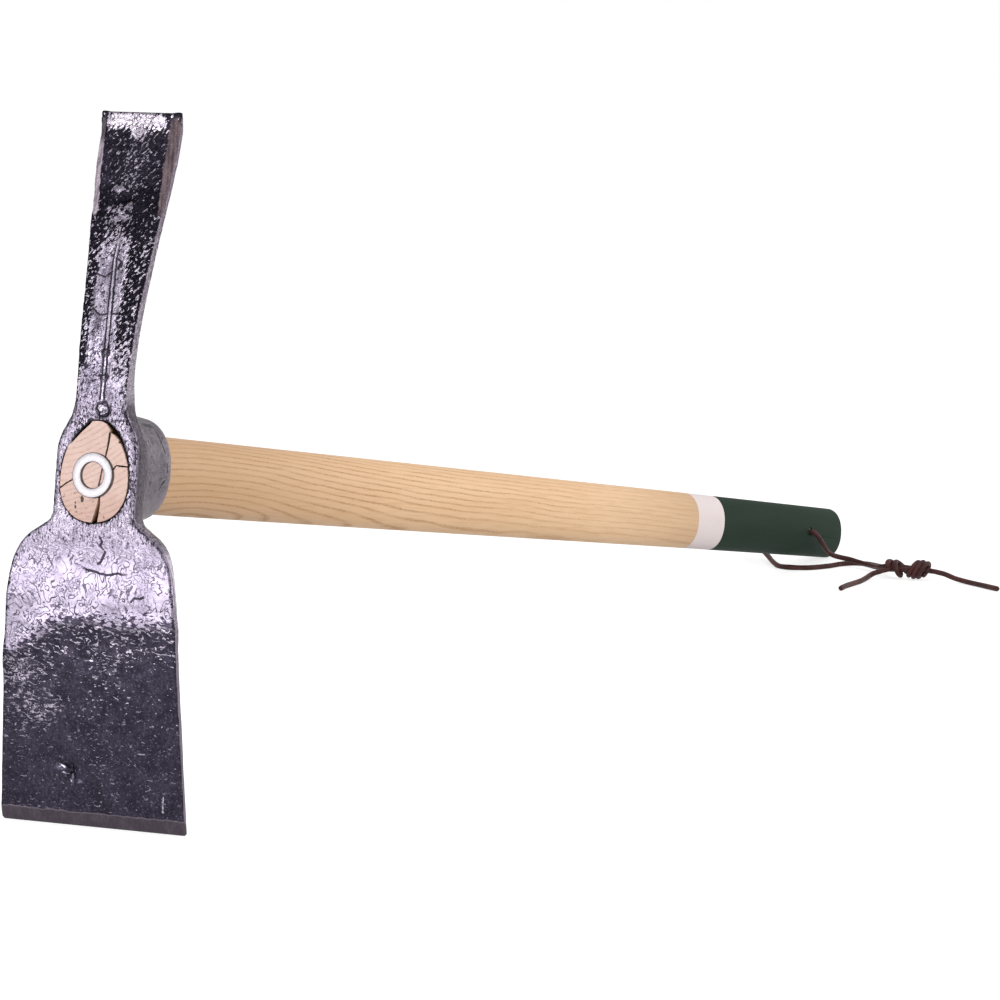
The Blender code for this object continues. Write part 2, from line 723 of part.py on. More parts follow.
def make_knot(parts, cutters, routes, finish):
    """The knot: a core along it, a wrap round that, and a stub for each run of the lace."""
    start, end = np.array(KNOT_START), np.array(KNOT_END)
    along = end - start
    core = as_mesh(tube("knot_core", smooth_route([start, (start + end) / 2, end], 0.005),
                        KNOT_CORE, parts, finish))
    core.name = "thong_knot"
    side = np.cross(along, (0, 0, 1))
    side /= np.linalg.norm(side)
    up = np.cross(side, along)
    up /= np.linalg.norm(up)
    wrap = []
    for u in np.linspace(0, 1, 46):
        turn = 2 * math.pi * KNOT_TURNS * u + math.radians(200)
        swell = KNOT_CORE * (0.40 + 0.30 * u ** 0.7)
        centre = start + along * (0.12 + 0.76 * u)
        wrap.append(centre + swell * (math.cos(turn) * side + math.sin(turn) * up))
    pieces = [tube("cut_knot_wrap", wrap, KNOT_WRAP, cutters)]
    for name, points in routes.items():
        at_knot = 0 if name.endswith("tail") else -1
        inward = 1 if at_knot == 0 else -2
        face, back = np.array(points[at_knot]), np.array(points[inward])
        way = (face - back) / np.linalg.norm(face - back)
        stub_start = face + way * FIT_GAP
        middle = start if abs(face[1] - start[1]) < abs(face[1] - end[1]) else end
        inside = middle + (start + end - 2 * middle) * 0.12
        pieces.append(tube(f"cut_knot_{name}", smooth_route(
            [stub_start, stub_start + way * 0.0015, inside], 0.002), LACE_DIAMETER, cutters))
    for piece in pieces:
        boolean(core, helper(as_mesh(piece)), "UNION")
    return core


def shaft_slope():
    """The lean that brings the wide blade's edge and the grip's end to one floor."""
    edge = plate_ring(-WIDE_REACH)
    edge_x = sum(x for x, _ in edge) / len(edge)
    leans = []
    for x, shrink in end_rounding():
        under = handle_size(x)[0] / 2 - shrink
        leans.append(math.atan2(WIDE_REACH - under, x - edge_x))
    return min(leans)


def stand(objects, slope):
    """Leans the shaft frame and lifts it, so that the lowest corner is on the floor."""
    lean = Matrix.Rotation(slope, 4, "Y")
    graph = bpy.context.evaluated_depsgraph_get()
    corners = []
    for obj in objects:
        evaluated = obj.evaluated_get(graph)
        mesh = evaluated.to_mesh()
        corners += [lean @ vertex.co for vertex in mesh.vertices]
        evaluated.to_mesh_clear()
    low = min(corner.z for corner in corners)
    ends = [corner.x for corner in corners]
    return Matrix.Translation((-(min(ends) + max(ends)) / 2, 0, -low)) @ lean


clear_scene()
parts = make_collection("double_hoe")
cutters = make_collection("cutters")
steel = material("forged_steel", (0.10, 0.10, 0.12), 0.35, 1.0)
ash = material("ash_wood", (0.66, 0.48, 0.27), 0.55)
bright = material("ring_steel", (0.75, 0.75, 0.76), 0.3, 1.0)
white = material("white_dip", (0.72, 0.69, 0.68), 0.5)
green = material("green_dip", (0.025, 0.06, 0.045), 0.45)
leather = material("lace_leather", (0.075, 0.03, 0.022), 0.6)

head = make_head(parts, cutters, steel)
handle = make_handle(parts, cutters, ash)
ring_wedge = make_ring_wedge(parts, bright)
white_band = make_white_band(parts, white)
grip_coat = make_grip_coat(parts, bpy.data.objects["cut_hole"], green)
bpy.context.view_layer.update()
solids = [head, handle, ring_wedge, white_band, grip_coat]
place = stand(solids, shaft_slope())
root = bpy.data.objects.new("tool_frame", None)
parts.objects.link(root)
root.matrix_world = place
for obj in [*solids, *cutters.objects]:
    obj.parent = root

hole = place @ Vector((HANDLE_LENGTH - HOLE_FROM_BUTT, 0, 0))
routes = lace_routes(hole.z)
laces = [make_knot(parts, cutters, routes, leather)]
for name, points in routes.items():
    laces.append(tube(name, smooth_route(points, 2 * LACE_DIAMETER), LACE_DIAMETER, parts, leather))
lace_frame = bpy.data.objects.new("lace_frame", None)
parts.objects.link(lace_frame)
lace_frame.location = (hole.x, 0, 0)
for obj in [*laces, *(obj for obj in cutters.objects if obj.name.startswith("cut_knot"))]:
    obj.parent = lace_frame
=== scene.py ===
"""Looks of the double hoe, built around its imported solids.

Metres, +Z up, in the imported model's frame. The shaft frame is the leaned one that the tool was drawn
in: its origin is the middle of the eye's face, x runs along the handle to the butt, y across it and
z up the narrow blade. Sizes called _MM are in millimetres, and so is each place that the head's
relief and the shaders are given.
"""

import json
import math

import bmesh
import bpy
import numpy as np
from mathutils import Matrix, Vector
from mathutils import noise as soft_noise


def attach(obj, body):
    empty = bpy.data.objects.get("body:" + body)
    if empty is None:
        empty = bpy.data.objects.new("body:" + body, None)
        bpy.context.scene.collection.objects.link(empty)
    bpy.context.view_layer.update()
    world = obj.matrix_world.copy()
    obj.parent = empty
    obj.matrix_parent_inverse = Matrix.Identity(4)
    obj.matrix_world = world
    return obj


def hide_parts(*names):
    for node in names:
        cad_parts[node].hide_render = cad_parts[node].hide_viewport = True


# Sizes that the solids have, in the shaft frame
HANDLE_LENGTH = 0.904
HOLE_FROM_BUTT = 0.057
BUTT_WIDTH = 0.0196
HEAD_END_WIDTH = 0.0256
EYE_HEIGHT = 0.045
EYE_WIDTH = 0.0337
EYE_DROP_MM = 1.4
EYE_EGG = 0.15
CHIP_DEPTH = 0.138
CHIP_DEGREES = (98, 176)
COLLAR_LENGTH = 0.0385
COLLAR_BORE_MM = (12.9, 17.9)
BOSS_THICKNESS = 0.009
WIDE_REACH = 0.1576
WIDE_BEVEL = 0.0066
NARROW_REACH = 0.1587
NARROW_BEVEL = 0.008
FACET_LENGTH = 0.047
LACE_DIAMETER = 0.003
KNOT_START = (-0.0112, -0.0640, 0.0064)
KNOT_END = (-0.0112, -0.0915, 0.0062)
FIT_GAP = 0.0003
HOLE_DIAMETER = 0.005

# Camera, from the middle of the eye's face
CAMERA_OFFSET = (-1.7987, -1.0339, 0.2708)
CAMERA_YAW = math.radians(24.999)
CAMERA_PITCH = math.radians(7.836)
CAMERA_ROLL = math.radians(0.0665)
CAMERA_LENS = 171.83

KEY_HEIGHT = 0.262
SKY_LEVEL = 0.5
FLOOR_HALF_SIZE = 30
FLOOR_GLOW = 0.70
HEAD_VOXEL = 0.0006
EDGE_SPREADS = 40
EDGE_SHADE_SPREADS = 8
LACE_SIDES = 14
LIP_PUSH_MM = 1.2
LIP_MIDDLE_DROP_MM = 0.9
# The narrow blade's end, against the solid: to the right, down, and wider by this share
TIP_LEAN_MM = 1.3
TIP_DROP_MM = 0.7
TIP_WIDER = 0.025
# The growth rings' middle across the shaft, and how far apart they are
PITH_MM = (27, 58)
GROWTH_RING_MM = 2.45
RING_CENTRE = (0.9, -3.0)


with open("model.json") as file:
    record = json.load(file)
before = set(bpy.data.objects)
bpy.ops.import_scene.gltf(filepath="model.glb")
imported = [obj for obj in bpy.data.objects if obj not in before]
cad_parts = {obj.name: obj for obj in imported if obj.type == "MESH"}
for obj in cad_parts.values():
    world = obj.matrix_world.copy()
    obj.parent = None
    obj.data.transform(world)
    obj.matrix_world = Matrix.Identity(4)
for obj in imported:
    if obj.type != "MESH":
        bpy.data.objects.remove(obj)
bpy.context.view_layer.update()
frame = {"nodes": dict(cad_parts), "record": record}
butt = frame["record"]["mounts"][0]
along = Vector(butt["axis"])
eye = Vector(butt["pos_m"]) - along * HANDLE_LENGTH
slope = math.atan2(-along.z, along.x)
shaft = Matrix.Translation(eye) @ Matrix.Rotation(slope, 4, "Y")


class Shader:
    """One material's node tree, with a short method for each kind of node that it uses."""

    def __init__(self, name):
        self.material = bpy.data.materials.new(name)
        self.material.use_nodes = True
        self.tree = self.material.node_tree
        self.surface = self.tree.nodes["Principled BSDF"]
        self.place = None

    def put(self, socket, value):
        if isinstance(value, bpy.types.NodeSocket):
            self.tree.links.new(value, socket)
        elif hasattr(value, "__len__") and len(value) == 3 and len(socket.default_value) == 4:
            socket.default_value = (*value, 1)
        else:
            socket.default_value = value

    def node(self, kind, inputs, output=0, **settings):
        made = self.tree.nodes.new("ShaderNode" + kind)
        for name, value in settings.items():
            setattr(made, name, value)
        for key, value in inputs.items():
            self.put(made.inputs[key], value)
        return made.outputs[output]

    def set(self, **values):
        """Sets sockets of the surface. An underscore in a name stands for a space."""
        for name, value in values.items():
            self.put(self.surface.inputs[name.replace("_", " ")], value)

    def math(self, operation, first, second=0.0, third=0.0):
        return self.node("Math", {0: first, 1: second, 2: third}, operation=operation)

    def fold(self, operation, values):
        total = values[0]
        for value in values[1:]:
            total = self.math(operation, total, value)
        return total

    def add(self, *values):
        return self.fold("ADD", values)

    def times(self, *values):
        return self.fold("MULTIPLY", values)

    def largest(self, *values):
        return self.fold("MAXIMUM", values)

    def length(self, *sides):
        return self.math("SQRT", self.add(*[self.times(side, side) for side in sides]))

    def away(self, value, middle):
        """How far a value is from a middle one, either way."""
        return self.math("ABSOLUTE", self.add(value, -middle))

    def invert(self, value):
        return self.math("SUBTRACT", 1.0, value)

    def stretch(self, place, scale):
        return self.node("VectorMath", {0: place, 1: scale}, operation="MULTIPLY")

    def shaft_space(self):
        """Sets the place that the noises use to that in the shaft frame, and gives its x, y, z."""
        place = self.node("TexCoord", {}, output="Object")
        back = shaft.inverted()
        moved = self.node(
            "Mapping",
            {"Vector": place, "Location": back.translation, "Rotation": back.to_euler()},
        )
        self.place = self.stretch(moved, (1000, 1000, 1000))
        return self.node("SeparateXYZ", {0: self.place}).node.outputs

    def join(self, x, y, z):
        return self.node("CombineXYZ", {0: x, 1: y, 2: z})

    def noise(self, size, detail=2.0, roughness=0.5, distortion=0.0, stretch=None, place=None):
        """Soft noise from 0 to 1, whose lumps are about size wide, once the place is stretched."""
        place = place or self.place
        if stretch:
            place = self.stretch(place, stretch)
        inputs = {"Vector": place, "Scale": 1 / size, "Detail": detail, "Roughness": roughness}
        return self.node("TexNoise", {**inputs, "Distortion": distortion})

    def ragged(self, value, grain, amount):
        """A value that a noise makes uneven, over that amount."""
        return self.add(value, self.times(grain, amount), -amount / 2)

    def step(self, value, low, high, start=0.0, end=1.0):
        """A smooth change from start to end as value goes from low to high."""
        return self.node(
            "MapRange",
            {"Value": value, "From Min": low, "From Max": high, "To Min": start, "To Max": end},
            interpolation_type="SMOOTHSTEP",
        )

    def fall(self, value, low, high):
        """A smooth change from 1 to 0."""
        return self.step(value, low, high, 1.0, 0.0)

    def band(self, value, low, full, ebb, high):
        """1 from full to ebb, and 0 below low and above high."""
        return self.times(self.step(value, low, full), self.fall(value, ebb, high))

    def from_line(self, y, z, *route):
        """How far a place across the shaft is from a line through the route's y, z points."""
        nearest = 99.0
        for (y0, z0), (y1, z1) in zip(route, route[1:]):
            length = math.hypot(y1 - y0, z1 - z0)
            way_y, way_z = (y1 - y0) / length, (z1 - z0) / length
            off_y, off_z = self.add(y, -y0), self.add(z, -z0)
            at = self.add(self.times(off_y, way_y), self.times(off_z, way_z))
            at = self.math("MINIMUM", self.math("MAXIMUM", at, 0.0), length)
            off_y = self.math("SUBTRACT", off_y, self.times(at, way_y))
            off_z = self.math("SUBTRACT", off_z, self.times(at, way_z))
            nearest = self.math("MINIMUM", self.length(off_y, off_z), nearest)
        return nearest

    def from_point(self, y, z, at):
        """How far a place across the shaft is from a y, z point."""
        return self.length(self.add(y, -at[0]), self.add(z, -at[1]))

    def blend(self, share, first, second):
        """From the first colour to the second. A tuple is one as it looks, from 0 to 255."""
        first, second = (linear(one) if isinstance(one, tuple) else one for one in (first, second))
        inputs = {"Factor": share, 6: first, 7: second}
        return self.node("Mix", inputs, output=2, data_type="RGBA")

    def paint(self, base, *coats):
        """Coats of colour over the base, each as strong as the product of its shares."""
        for colour, *shares in coats:
            base = self.blend(self.times(*shares), base, colour)
        return base

    def attribute(self, name):
        return self.node("Attribute", {}, output="Fac", attribute_name=name)

    def relief(self, height_mm):
        """Bumps the surface by a height in millimetres."""
        self.put(
            self.surface.inputs["Normal"],
            self.node("Bump", {"Height": height_mm, "Distance": 0.001}),
        )


def linear(srgb):
    """A colour written as it looks, from 0 to 255, as the linear one that a shader takes."""
    made = []
    for value in srgb:
        value /= 255
        made.append(value / 12.92 if value <= 0.04045 else ((value + 0.055) / 1.055) ** 2.4)
    return tuple(made)


def put_in_scene(name, data):
    made = bpy.data.objects.new(name, data)
    bpy.context.scene.collection.objects.link(made)
    return made


def add_object(name, mesh, material, slot, node):
    """Adds a piece that rides with the tool and stands for a CAD node."""
    obj = put_in_scene(name, mesh)
    mesh.materials.clear()
    mesh.materials.append(material)
    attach(obj, "root")
    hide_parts(node)
    return obj


def mesh_of(bm, name):
    mesh = bpy.data.meshes.new(name)
    bm.to_mesh(mesh)
    bm.free()
    return mesh


def numbers(items, name, width, kind=float):
    """One property of a mesh's vertices or edges, as rows of that many numbers."""
    flat = np.empty(len(items) * width, kind)
    items.foreach_get(name, flat)
    return flat.reshape(-1, width)


def smooth(mesh, degrees):
    """Shades a mesh smoothly, but for the edges that are sharper than that."""
    mesh.shade_smooth()
    mesh.set_sharp_from_angle(angle=math.radians(degrees))
    return mesh


def welded_copy(node, name, smooth_degrees=40):
    """A copy of a CAD node's mesh with its seams joined, so that it can shade smoothly."""
    mesh = frame["nodes"][node].data.copy()
    mesh.name = name
    bm = bmesh.new()
    bm.from_mesh(mesh)
    bmesh.ops.remove_doubles(bm, verts=bm.verts, dist=0.00001)
    bm.to_mesh(mesh)
    bm.free()
    return smooth(mesh, smooth_degrees)


def smooth_route(points, spacing):
    """Evenly spaced points on a smooth curve through the route's own points."""
    points = np.array(points, float)
    ends = np.vstack([2 * points[0] - points[1], points, 2 * points[-1] - points[-2]])
    fine = []
    for a, b, c, d in zip(ends, ends[1:], ends[2:], ends[3:]):
        for u in np.linspace(0, 1, 24, endpoint=False):
            fine.append(
                b + 0.5 * u * (c - a + u * (2 * a - 5 * b + 4 * c - d + u * (3 * (b - c) + d - a)))
            )
    fine = np.array([*fine, points[-1]])
    along_line = np.concatenate([[0], np.cumsum(np.linalg.norm(np.diff(fine, axis=0), axis=1))])
    at = np.linspace(0, along_line[-1], max(2, round(along_line[-1] / spacing)) + 1)
    return np.stack([np.interp(at, along_line, fine[:, k]) for k in range(3)], axis=1)


def route_length(points):
    return float(np.linalg.norm(np.diff(np.array(points), axis=0), axis=1).sum())


# Camera


def look_camera():
    data = bpy.data.cameras.new("camera")
    data.lens = CAMERA_LENS
    camera = put_in_scene("camera", data)
    cy, sy = math.cos(CAMERA_YAW), math.sin(CAMERA_YAW)
    cp, sp = math.cos(CAMERA_PITCH), math.sin(CAMERA_PITCH)
    forward = Vector((cy * cp, sy * cp, -sp))
    right = Vector((sy, -cy, 0))
    up = right.cross(forward)
    cr, sr = math.cos(CAMERA_ROLL), math.sin(CAMERA_ROLL)
    right, up = right * cr + up * sr, up * cr - right * sr
    turn = Matrix((right, up, -forward)).transposed().to_4x4()
    camera.matrix_world = Matrix.Translation(eye + Vector(CAMERA_OFFSET)) @ turn
    bpy.context.scene.camera = camera


look_camera()


# Lamps, world and floor


def area_lamp(name, place, target, width, height, radiance):
    """A soft box of that size and brightness, where 1 is white."""
    data = bpy.data.lights.new(name, "AREA")
    data.shape = "RECTANGLE"
    data.size, data.size_y = width, height
    data.energy = radiance * math.pi * width * height
    lamp = put_in_scene(name, data)
    lamp.location = place
    lamp.rotation_euler = (Vector(target) - Vector(place)).to_track_quat("-Z", "Y").to_euler()


def camera_or_glossy(tree):
    """1 for rays from the camera and off shiny surfaces, 0 for those that light the scene."""
    path = tree.nodes.new("ShaderNodeLightPath")
    seen = tree.nodes.new("ShaderNodeMath")
    seen.operation = "MAXIMUM"
    tree.links.new(path.outputs["Is Camera Ray"], seen.inputs[0])
    tree.links.new(path.outputs["Is Glossy Ray"], seen.inputs[1])
    return seen.outputs[0]


def light_scene():
    head = eye + Vector((0, 0, -0.03))
    foot = eye + Vector((-0.894, 0.419, 0)).normalized() * 0.9
    area_lamp("key", (foot.x, foot.y, KEY_HEIGHT), (eye.x, eye.y, KEY_HEIGHT), 0.62, 0.50, 3.9)
    area_lamp("fill", (-0.7, -2.2, 0.85), (0.0, 0, 0.1), 2.4, 1.4, 2.3)
    area_lamp("side", (eye.x + 1.7, -0.85, 0.35), head, 0.7, 0.9, 2.2)
    area_lamp("top", (0.1, 0.3, 2.2), (0.0, 0, 0), 2.0, 1.6, 0.9)
    world = bpy.data.worlds.new("studio")
    world.use_nodes = True
    bpy.context.scene.world = world
    tree = world.node_tree
    background = tree.nodes["Background"]
    background.inputs["Color"].default_value = (1, 1, 1, 1)
    level = tree.nodes.new("ShaderNodeMapRange")
    level.inputs["To Min"].default_value = SKY_LEVEL
    level.inputs["To Max"].default_value = 1.0
    tree.links.new(camera_or_glossy(tree), level.inputs["Value"])
    tree.links.new(level.outputs[0], background.inputs["Strength"])


def make_floor():
    bm = bmesh.new()
    bmesh.ops.create_grid(bm, x_segments=1, y_segments=1, size=FLOOR_HALF_SIZE)
    mesh = mesh_of(bm, "floor")
    put_in_scene("floor", mesh)
    shader = Shader("pale_floor")
    shader.set(Base_Color=(0.6, 0.6, 0.6), Roughness=1.0, Specular_IOR_Level=0.0)
    glow = shader.times(camera_or_glossy(shader.tree), FLOOR_GLOW)
    shader.set(Emission_Color=(1, 1, 1), Emission_Strength=glow)
    mesh.materials.append(shader.material)


light_scene()
make_floor()


# Lace


# The lace's runs in millimetres: x from the cross hole, y, and z from the floor. They are as the
# solids have them, but for the far strand's wider turn behind the grip.
LACE_RUNS_MM = {
    "near_strand": (
        (1.2, -14.3, 20), (4.5, -16.2, 15), (10.5, -16.5, 10.3), (16, -18.2, 7.1), (18.7, -22.5, 5.5),
        (18, -28.5, 4.8), (16, -35, 3.8), (10.5, -43, 3.5), (2, -50.5, 4), (-7, -56.5, 5.5),
        (-10.5, -61, 6.6),
    ),
    "far_strand": (
        (1.2, 16.5, 21), (3.8, 22.8, 17.4), (8, 29, 13.2), (13.5, 34.5, 10), (18.9, 39, 7.8),
        (22.4, 41.5, 7), (26.6, 40.4, 6.5), (28.4, 36.5, 6.3), (26.5, 32.6, 6.1), (21.5, 28.6, 5.7),
        (13.5, 22.5, 4.2), (3, 15, 2.5), (-5.2, 8, 1.7), (-7, 0, 1.6), (-3.5, -10.5, 1.6),
        (7.5, -18.5, 1.6), (19.5, -23, 1.6), (25.8, -29.5, 1.6), (24, -38.5, 1.7), (16.5, -47, 2.2),
        (7, -54.5, 3.2), (-2, -58.5, 4.2), (-6, -61, 5),
    ),
    "long_tail": (
        (-11.2, -94.5, 5.4), (-11.2, -99, 4.6), (-12, -105, 2.8), (-13.5, -111, 1.8), (-18, -118, 1.6),
        (-23.5, -126, 1.6), (-28.5, -133, 1.6), (-33, -139.5, 1.6),
    ),
    "short_tail": (
        (-16.5, -61, 4.6), (-18.5, -57.5, 3.4), (-23, -56, 2.2), (-31, -56.2, 1.6), (-40, -56.8, 1.6),
        (-50, -56.2, 1.6), (-60, -55.6, 1.6), (-70, -56.2, 1.6),
    ),
}


def lace_routes(hole):
    """The lace's runs from end to end. Both strands start in the middle of the hole."""
    inside = hole.z - HOLE_DIAMETER / 2 + LACE_DIAMETER / 2 + FIT_GAP
    share = 1 - HOLE_FROM_BUTT / HANDLE_LENGTH
    width = HEAD_END_WIDTH + (BUTT_WIDTH - HEAD_END_WIDTH) * share
    mouth = width / 2 + FIT_GAP
    routes = {}
    for name, run in LACE_RUNS_MM.items():
        points = [(x / 1000, y / 1000, z / 1000) for x, y, z in run]
        if name.endswith("strand"):
            way = -1 if name == "near_strand" else 1
            points = [
                (0, way * FIT_GAP / 2, inside), (0, way * mouth * 0.6, inside),
                (0.0002, way * (mouth + 0.0012), inside + 0.0001), *points,
            ]
        routes[name] = smooth_route([(x + hole.x, y, z) for x, y, z in points], LACE_DIAMETER / 4)
    return routes


def lace_tube(name, points, diameter, twist=0.0, seed=0.0, round_start=True, round_end=True):
    """A leather lace along the points: a rounded square section that twists and varies a little."""
    points = np.array(points, float)
    tangents = np.gradient(points, axis=0)
    tangents /= np.linalg.norm(tangents, axis=1)[:, None]
    side = np.cross(tangents[0], (0, 0, 1))
    if np.linalg.norm(side) < 0.1:
        side = np.cross(tangents[0], (1, 0, 0))
    distance = np.concatenate([[0], np.cumsum(np.linalg.norm(np.diff(points, axis=0), axis=1))])
    bm = bmesh.new()
    rows = []
    for i, (point, tangent) in enumerate(zip(points, tangents)):
        side = side - tangent * np.dot(side, tangent)
        side /= np.linalg.norm(side)
        up = np.cross(side, tangent)
        wobble = soft_noise.noise(Vector((distance[i] * 160, seed, 0)))
        radius = diameter / 2 * (1 + 0.05 * wobble)
        to_end = []
        if round_start:
            to_end.append(distance[i])
        if round_end:
            to_end.append(distance[-1] - distance[i])
        if to_end:
            edge = min(1.0, min(to_end) / (diameter * 0.25))
            radius *= 0.80 + 0.20 * math.sqrt(edge * (2 - edge))
        turn = twist * distance[i] + 0.6 * soft_noise.noise(Vector((distance[i] * 60, seed + 9, 0)))
        row = []
        for k in range(LACE_SIDES):
            a = 2 * math.pi * k / LACE_SIDES
            square = 1 / (abs(math.cos(a)) ** 3 + abs(math.sin(a)) ** 3) ** (1 / 3)
            reach = radius * (0.55 + 0.45 * square)
            ridge = 0.02 * radius * soft_noise.noise(Vector((distance[i] * 900, a * 2, seed)))
            offset = (reach + ridge) * (math.cos(a + turn) * side + math.sin(a + turn) * up)
            row.append(bm.verts.new(point + offset))
        rows.append(row)
    for low, high in zip(rows, rows[1:]):
        for k in range(LACE_SIDES):
            j = (k + 1) % LACE_SIDES
            bm.faces.new((low[k], high[k], high[j], low[j]))
    bm.faces.new(rows[0])
    bm.faces.new(rows[-1][::-1])
    bmesh.ops.recalc_face_normals(bm, faces=bm.faces)
    return smooth(mesh_of(bm, name), 60)


def leather_material():
    shader = Shader("lace_leather")
    place = shader.node("TexCoord", {}, output="Object")
    shader.place = shader.stretch(place, (1000, 1000, 1000))
    broad = shader.noise(7, detail=3)
    grain = shader.noise(0.45, detail=3, roughness=0.6)
    shade = shader.paint(
        shader.blend(shader.step(broad, 0.35, 0.7), (46, 19, 19), (80, 42, 40)),
        # Lighter flecks: partly the leather's grain, partly painted highlights
        ((116, 72, 66), shader.step(grain, 0.45, 0.75, 0.0, 0.4)),
    )
    rough = shader.step(grain, 0.3, 0.8, 0.48, 0.70)
    shader.set(Base_Color=shade, Roughness=rough, Specular_IOR_Level=0.25)
    shader.relief(shader.add(shader.times(grain, 0.12), shader.times(broad, 0.3)))
    return shader.material


def knot_mesh(name, hole, routes):
    """The knot: both strands run in, turn round each other in a tight barrel, and run out."""
    start = np.array(KNOT_START) + (hole.x, 0, 0)
    end = np.array(KNOT_END) + (hole.x, 0, 0)
    run = end - start
    way = run / np.linalg.norm(run)
    side = np.cross(way, (0, 0, 1))
    side /= np.linalg.norm(side)
    up = np.cross(side, way)
    made = []

    def point(at, out, angle, lean=0.0):
        """A point at a distance along the knot and out from it. With lean, its top runs ahead."""
        swing, rise = math.cos(angle), math.sin(angle)
        return start + way * (at + lean * rise) + out * (swing * side + rise * up)

    d = LACE_DIAMETER
    length = np.linalg.norm(run)
    strands = {
        "core_a": [point(a * length, 0.45 * d, 2.2 + 1.5 * a) for a in np.linspace(-0.04, 1.0, 12)],
        "core_b": [point(a * length, 0.45 * d, 5.4 + 1.5 * a) for a in np.linspace(-0.04, 0.96, 12)],
    }
    wraps = []
    for share in np.linspace(0, 1, 84):
        swell = 1.06 + 0.42 * math.sin(math.pi * share) ** 0.7
        turn = 2.6 + 2 * math.pi * 3.3 * share
        wraps.append(point((0.50 + 0.36 * share) * length, d * swell, turn, 0.0020))
    strands["wraps"] = [point(0.58 * length, d * 0.5, 1.8), *wraps, point(0.84 * length, d * 0.4, 24.6)]
    bight = []
    for share in np.linspace(0, 1, 40):
        out = d * (0.95 + 0.45 * math.sin(math.pi * share))
        turn = 0.4 + 2 * math.pi * 1.4 * share
        bight.append(point((0.06 + 0.24 * share) * length, out, turn, -0.0026))
    strands["bight"] = [point(0.0, d * 0.3, 0.2), *bight, point(0.40 * length, d * 1.1, 10.2), wraps[1]]
    for key, points in strands.items():
        made.append(lace_tube(key, smooth_route(points, d / 5), d, seed=len(key)))
    for key, line in routes.items():
        at = 0 if key.endswith("tail") else -1
        tip, before = np.array(line[at]), np.array(line[1 if at == 0 else -2])
        out = (tip - before) / np.linalg.norm(tip - before)
        middle = start if abs(tip[1] - start[1]) < abs(tip[1] - end[1]) else end
        inner = middle + (start + end - 2 * middle) * 0.15
        stub = smooth_route([tip - out * 0.0006, tip + out * 0.0016, inner], d / 5)
        made.append(lace_tube(key, stub, d * 0.97, seed=3, round_start=False))
    bm = bmesh.new()
    for mesh in made:
        bm.from_mesh(mesh)
        bpy.data.meshes.remove(mesh)
    return smooth(mesh_of(bm, name), 60)


def make_lace():
    hole = shaft @ Vector((HANDLE_LENGTH - HOLE_FROM_BUTT, 0, 0))
    routes = lace_routes(hole)
    leather = leather_material()
    knot = add_object("lace_knot", knot_mesh("lace_knot", hole, routes), leather, "leather", "thong_knot")
    for seed, (name, line) in enumerate(routes.items()):
        tail = name.endswith("tail")
        mesh = lace_tube(
            f"lace_{name}", line, LACE_DIAMETER, twist=18, seed=seed * 5.0,
            round_start=False, round_end=tail,
        )
        piece = add_object(f"lace_{name}", mesh, leather, "leather", f"thong_{name}")
        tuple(line[0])
        route_length(line)
        [list(p) for p in line]


make_lace()


# Head


def field(points, size, octaves=1, seed=0.0, stretch=(1, 1, 1)):
    """Smooth noise at points in millimetres, about -1 to 1, with lumps about size wide."""
    scaled = np.asarray(points) * stretch / size + (seed, -seed, seed * 0.5)
    return np.array(
        [soft_noise.fractal(Vector(p), 1.0, 2.0, octaves, noise_basis="PERLIN_ORIGINAL") for p in scaled]
    )


def ease(x, low, high):
    t = np.clip((x - low) / (high - low), 0, 1)
    return t * t * (3 - 2 * t)


def blot(y, z, at, size, power=1.0):
    """1 at a y, z place on the front face, and less the further away, as wide as size says."""
    return np.exp(-(((y - at[0]) / size[0]) ** 2 + ((z - at[1]) / size[1]) ** 2) ** power)


def mound(y, z, at, size, height):
    """A round swelling on the front face. A hollow has a height below 0."""
    return height * blot(y, z, at, size) ** 1.4


def line_distance(y, z, routes):
    """How far each place is from the nearest of the lines through the routes' points."""
    nearest = np.full(len(y), 99.0)
    for route in routes:
        for (y0, z0), (y1, z1) in zip(route, route[1:]):
            length = math.hypot(y1 - y0, z1 - z0)
            share = np.clip(((y - y0) * (y1 - y0) + (z - z0) * (z1 - z0)) / length**2, 0, 1)
            away = np.hypot(y - y0 - share * (y1 - y0), z - z0 - share * (z1 - z0))
            nearest = np.minimum(nearest, away)
    return nearest


# Swellings and hollows on the front face: y, z place, half sizes and height
MOUNDS = (
    ((9.5, -133.5), (2.6, 4.4), -1.4), ((14.5, -131.0), (3.2, 1.5), -0.6),
    ((6.0, -138.5), (2.0, 1.2), 0.5), ((12.0, -136.5), (1.4, 2.0), 0.4),
    ((4.0, 123.0), (3.4, 2.0), 1.0), ((1.6, 119.0), (4.6, 2.0), -1.3),
    ((-2.0, 115.8), (2.4, 2.4), 1.0), ((-0.5, 50.9), (2.0, 2.2), 0.45), ((-1.1, 40.2), (2.2, 2.2), 0.5),
)
# Spots of one brightness: y, z place, half sizes, how much of them, and how bright
SPOTS = (
    ((4.0, 123.4), (4.0, 2.0), 0.5, 0.96), ((1.6, 119.0), (4.6, 2.0), 0.5, 0.01),
    ((-2.0, 115.8), (2.2, 2.6), 0.5, 0.98), ((10.0, -133.5), (4.6, 5.0), 0.3, 0.01),
)
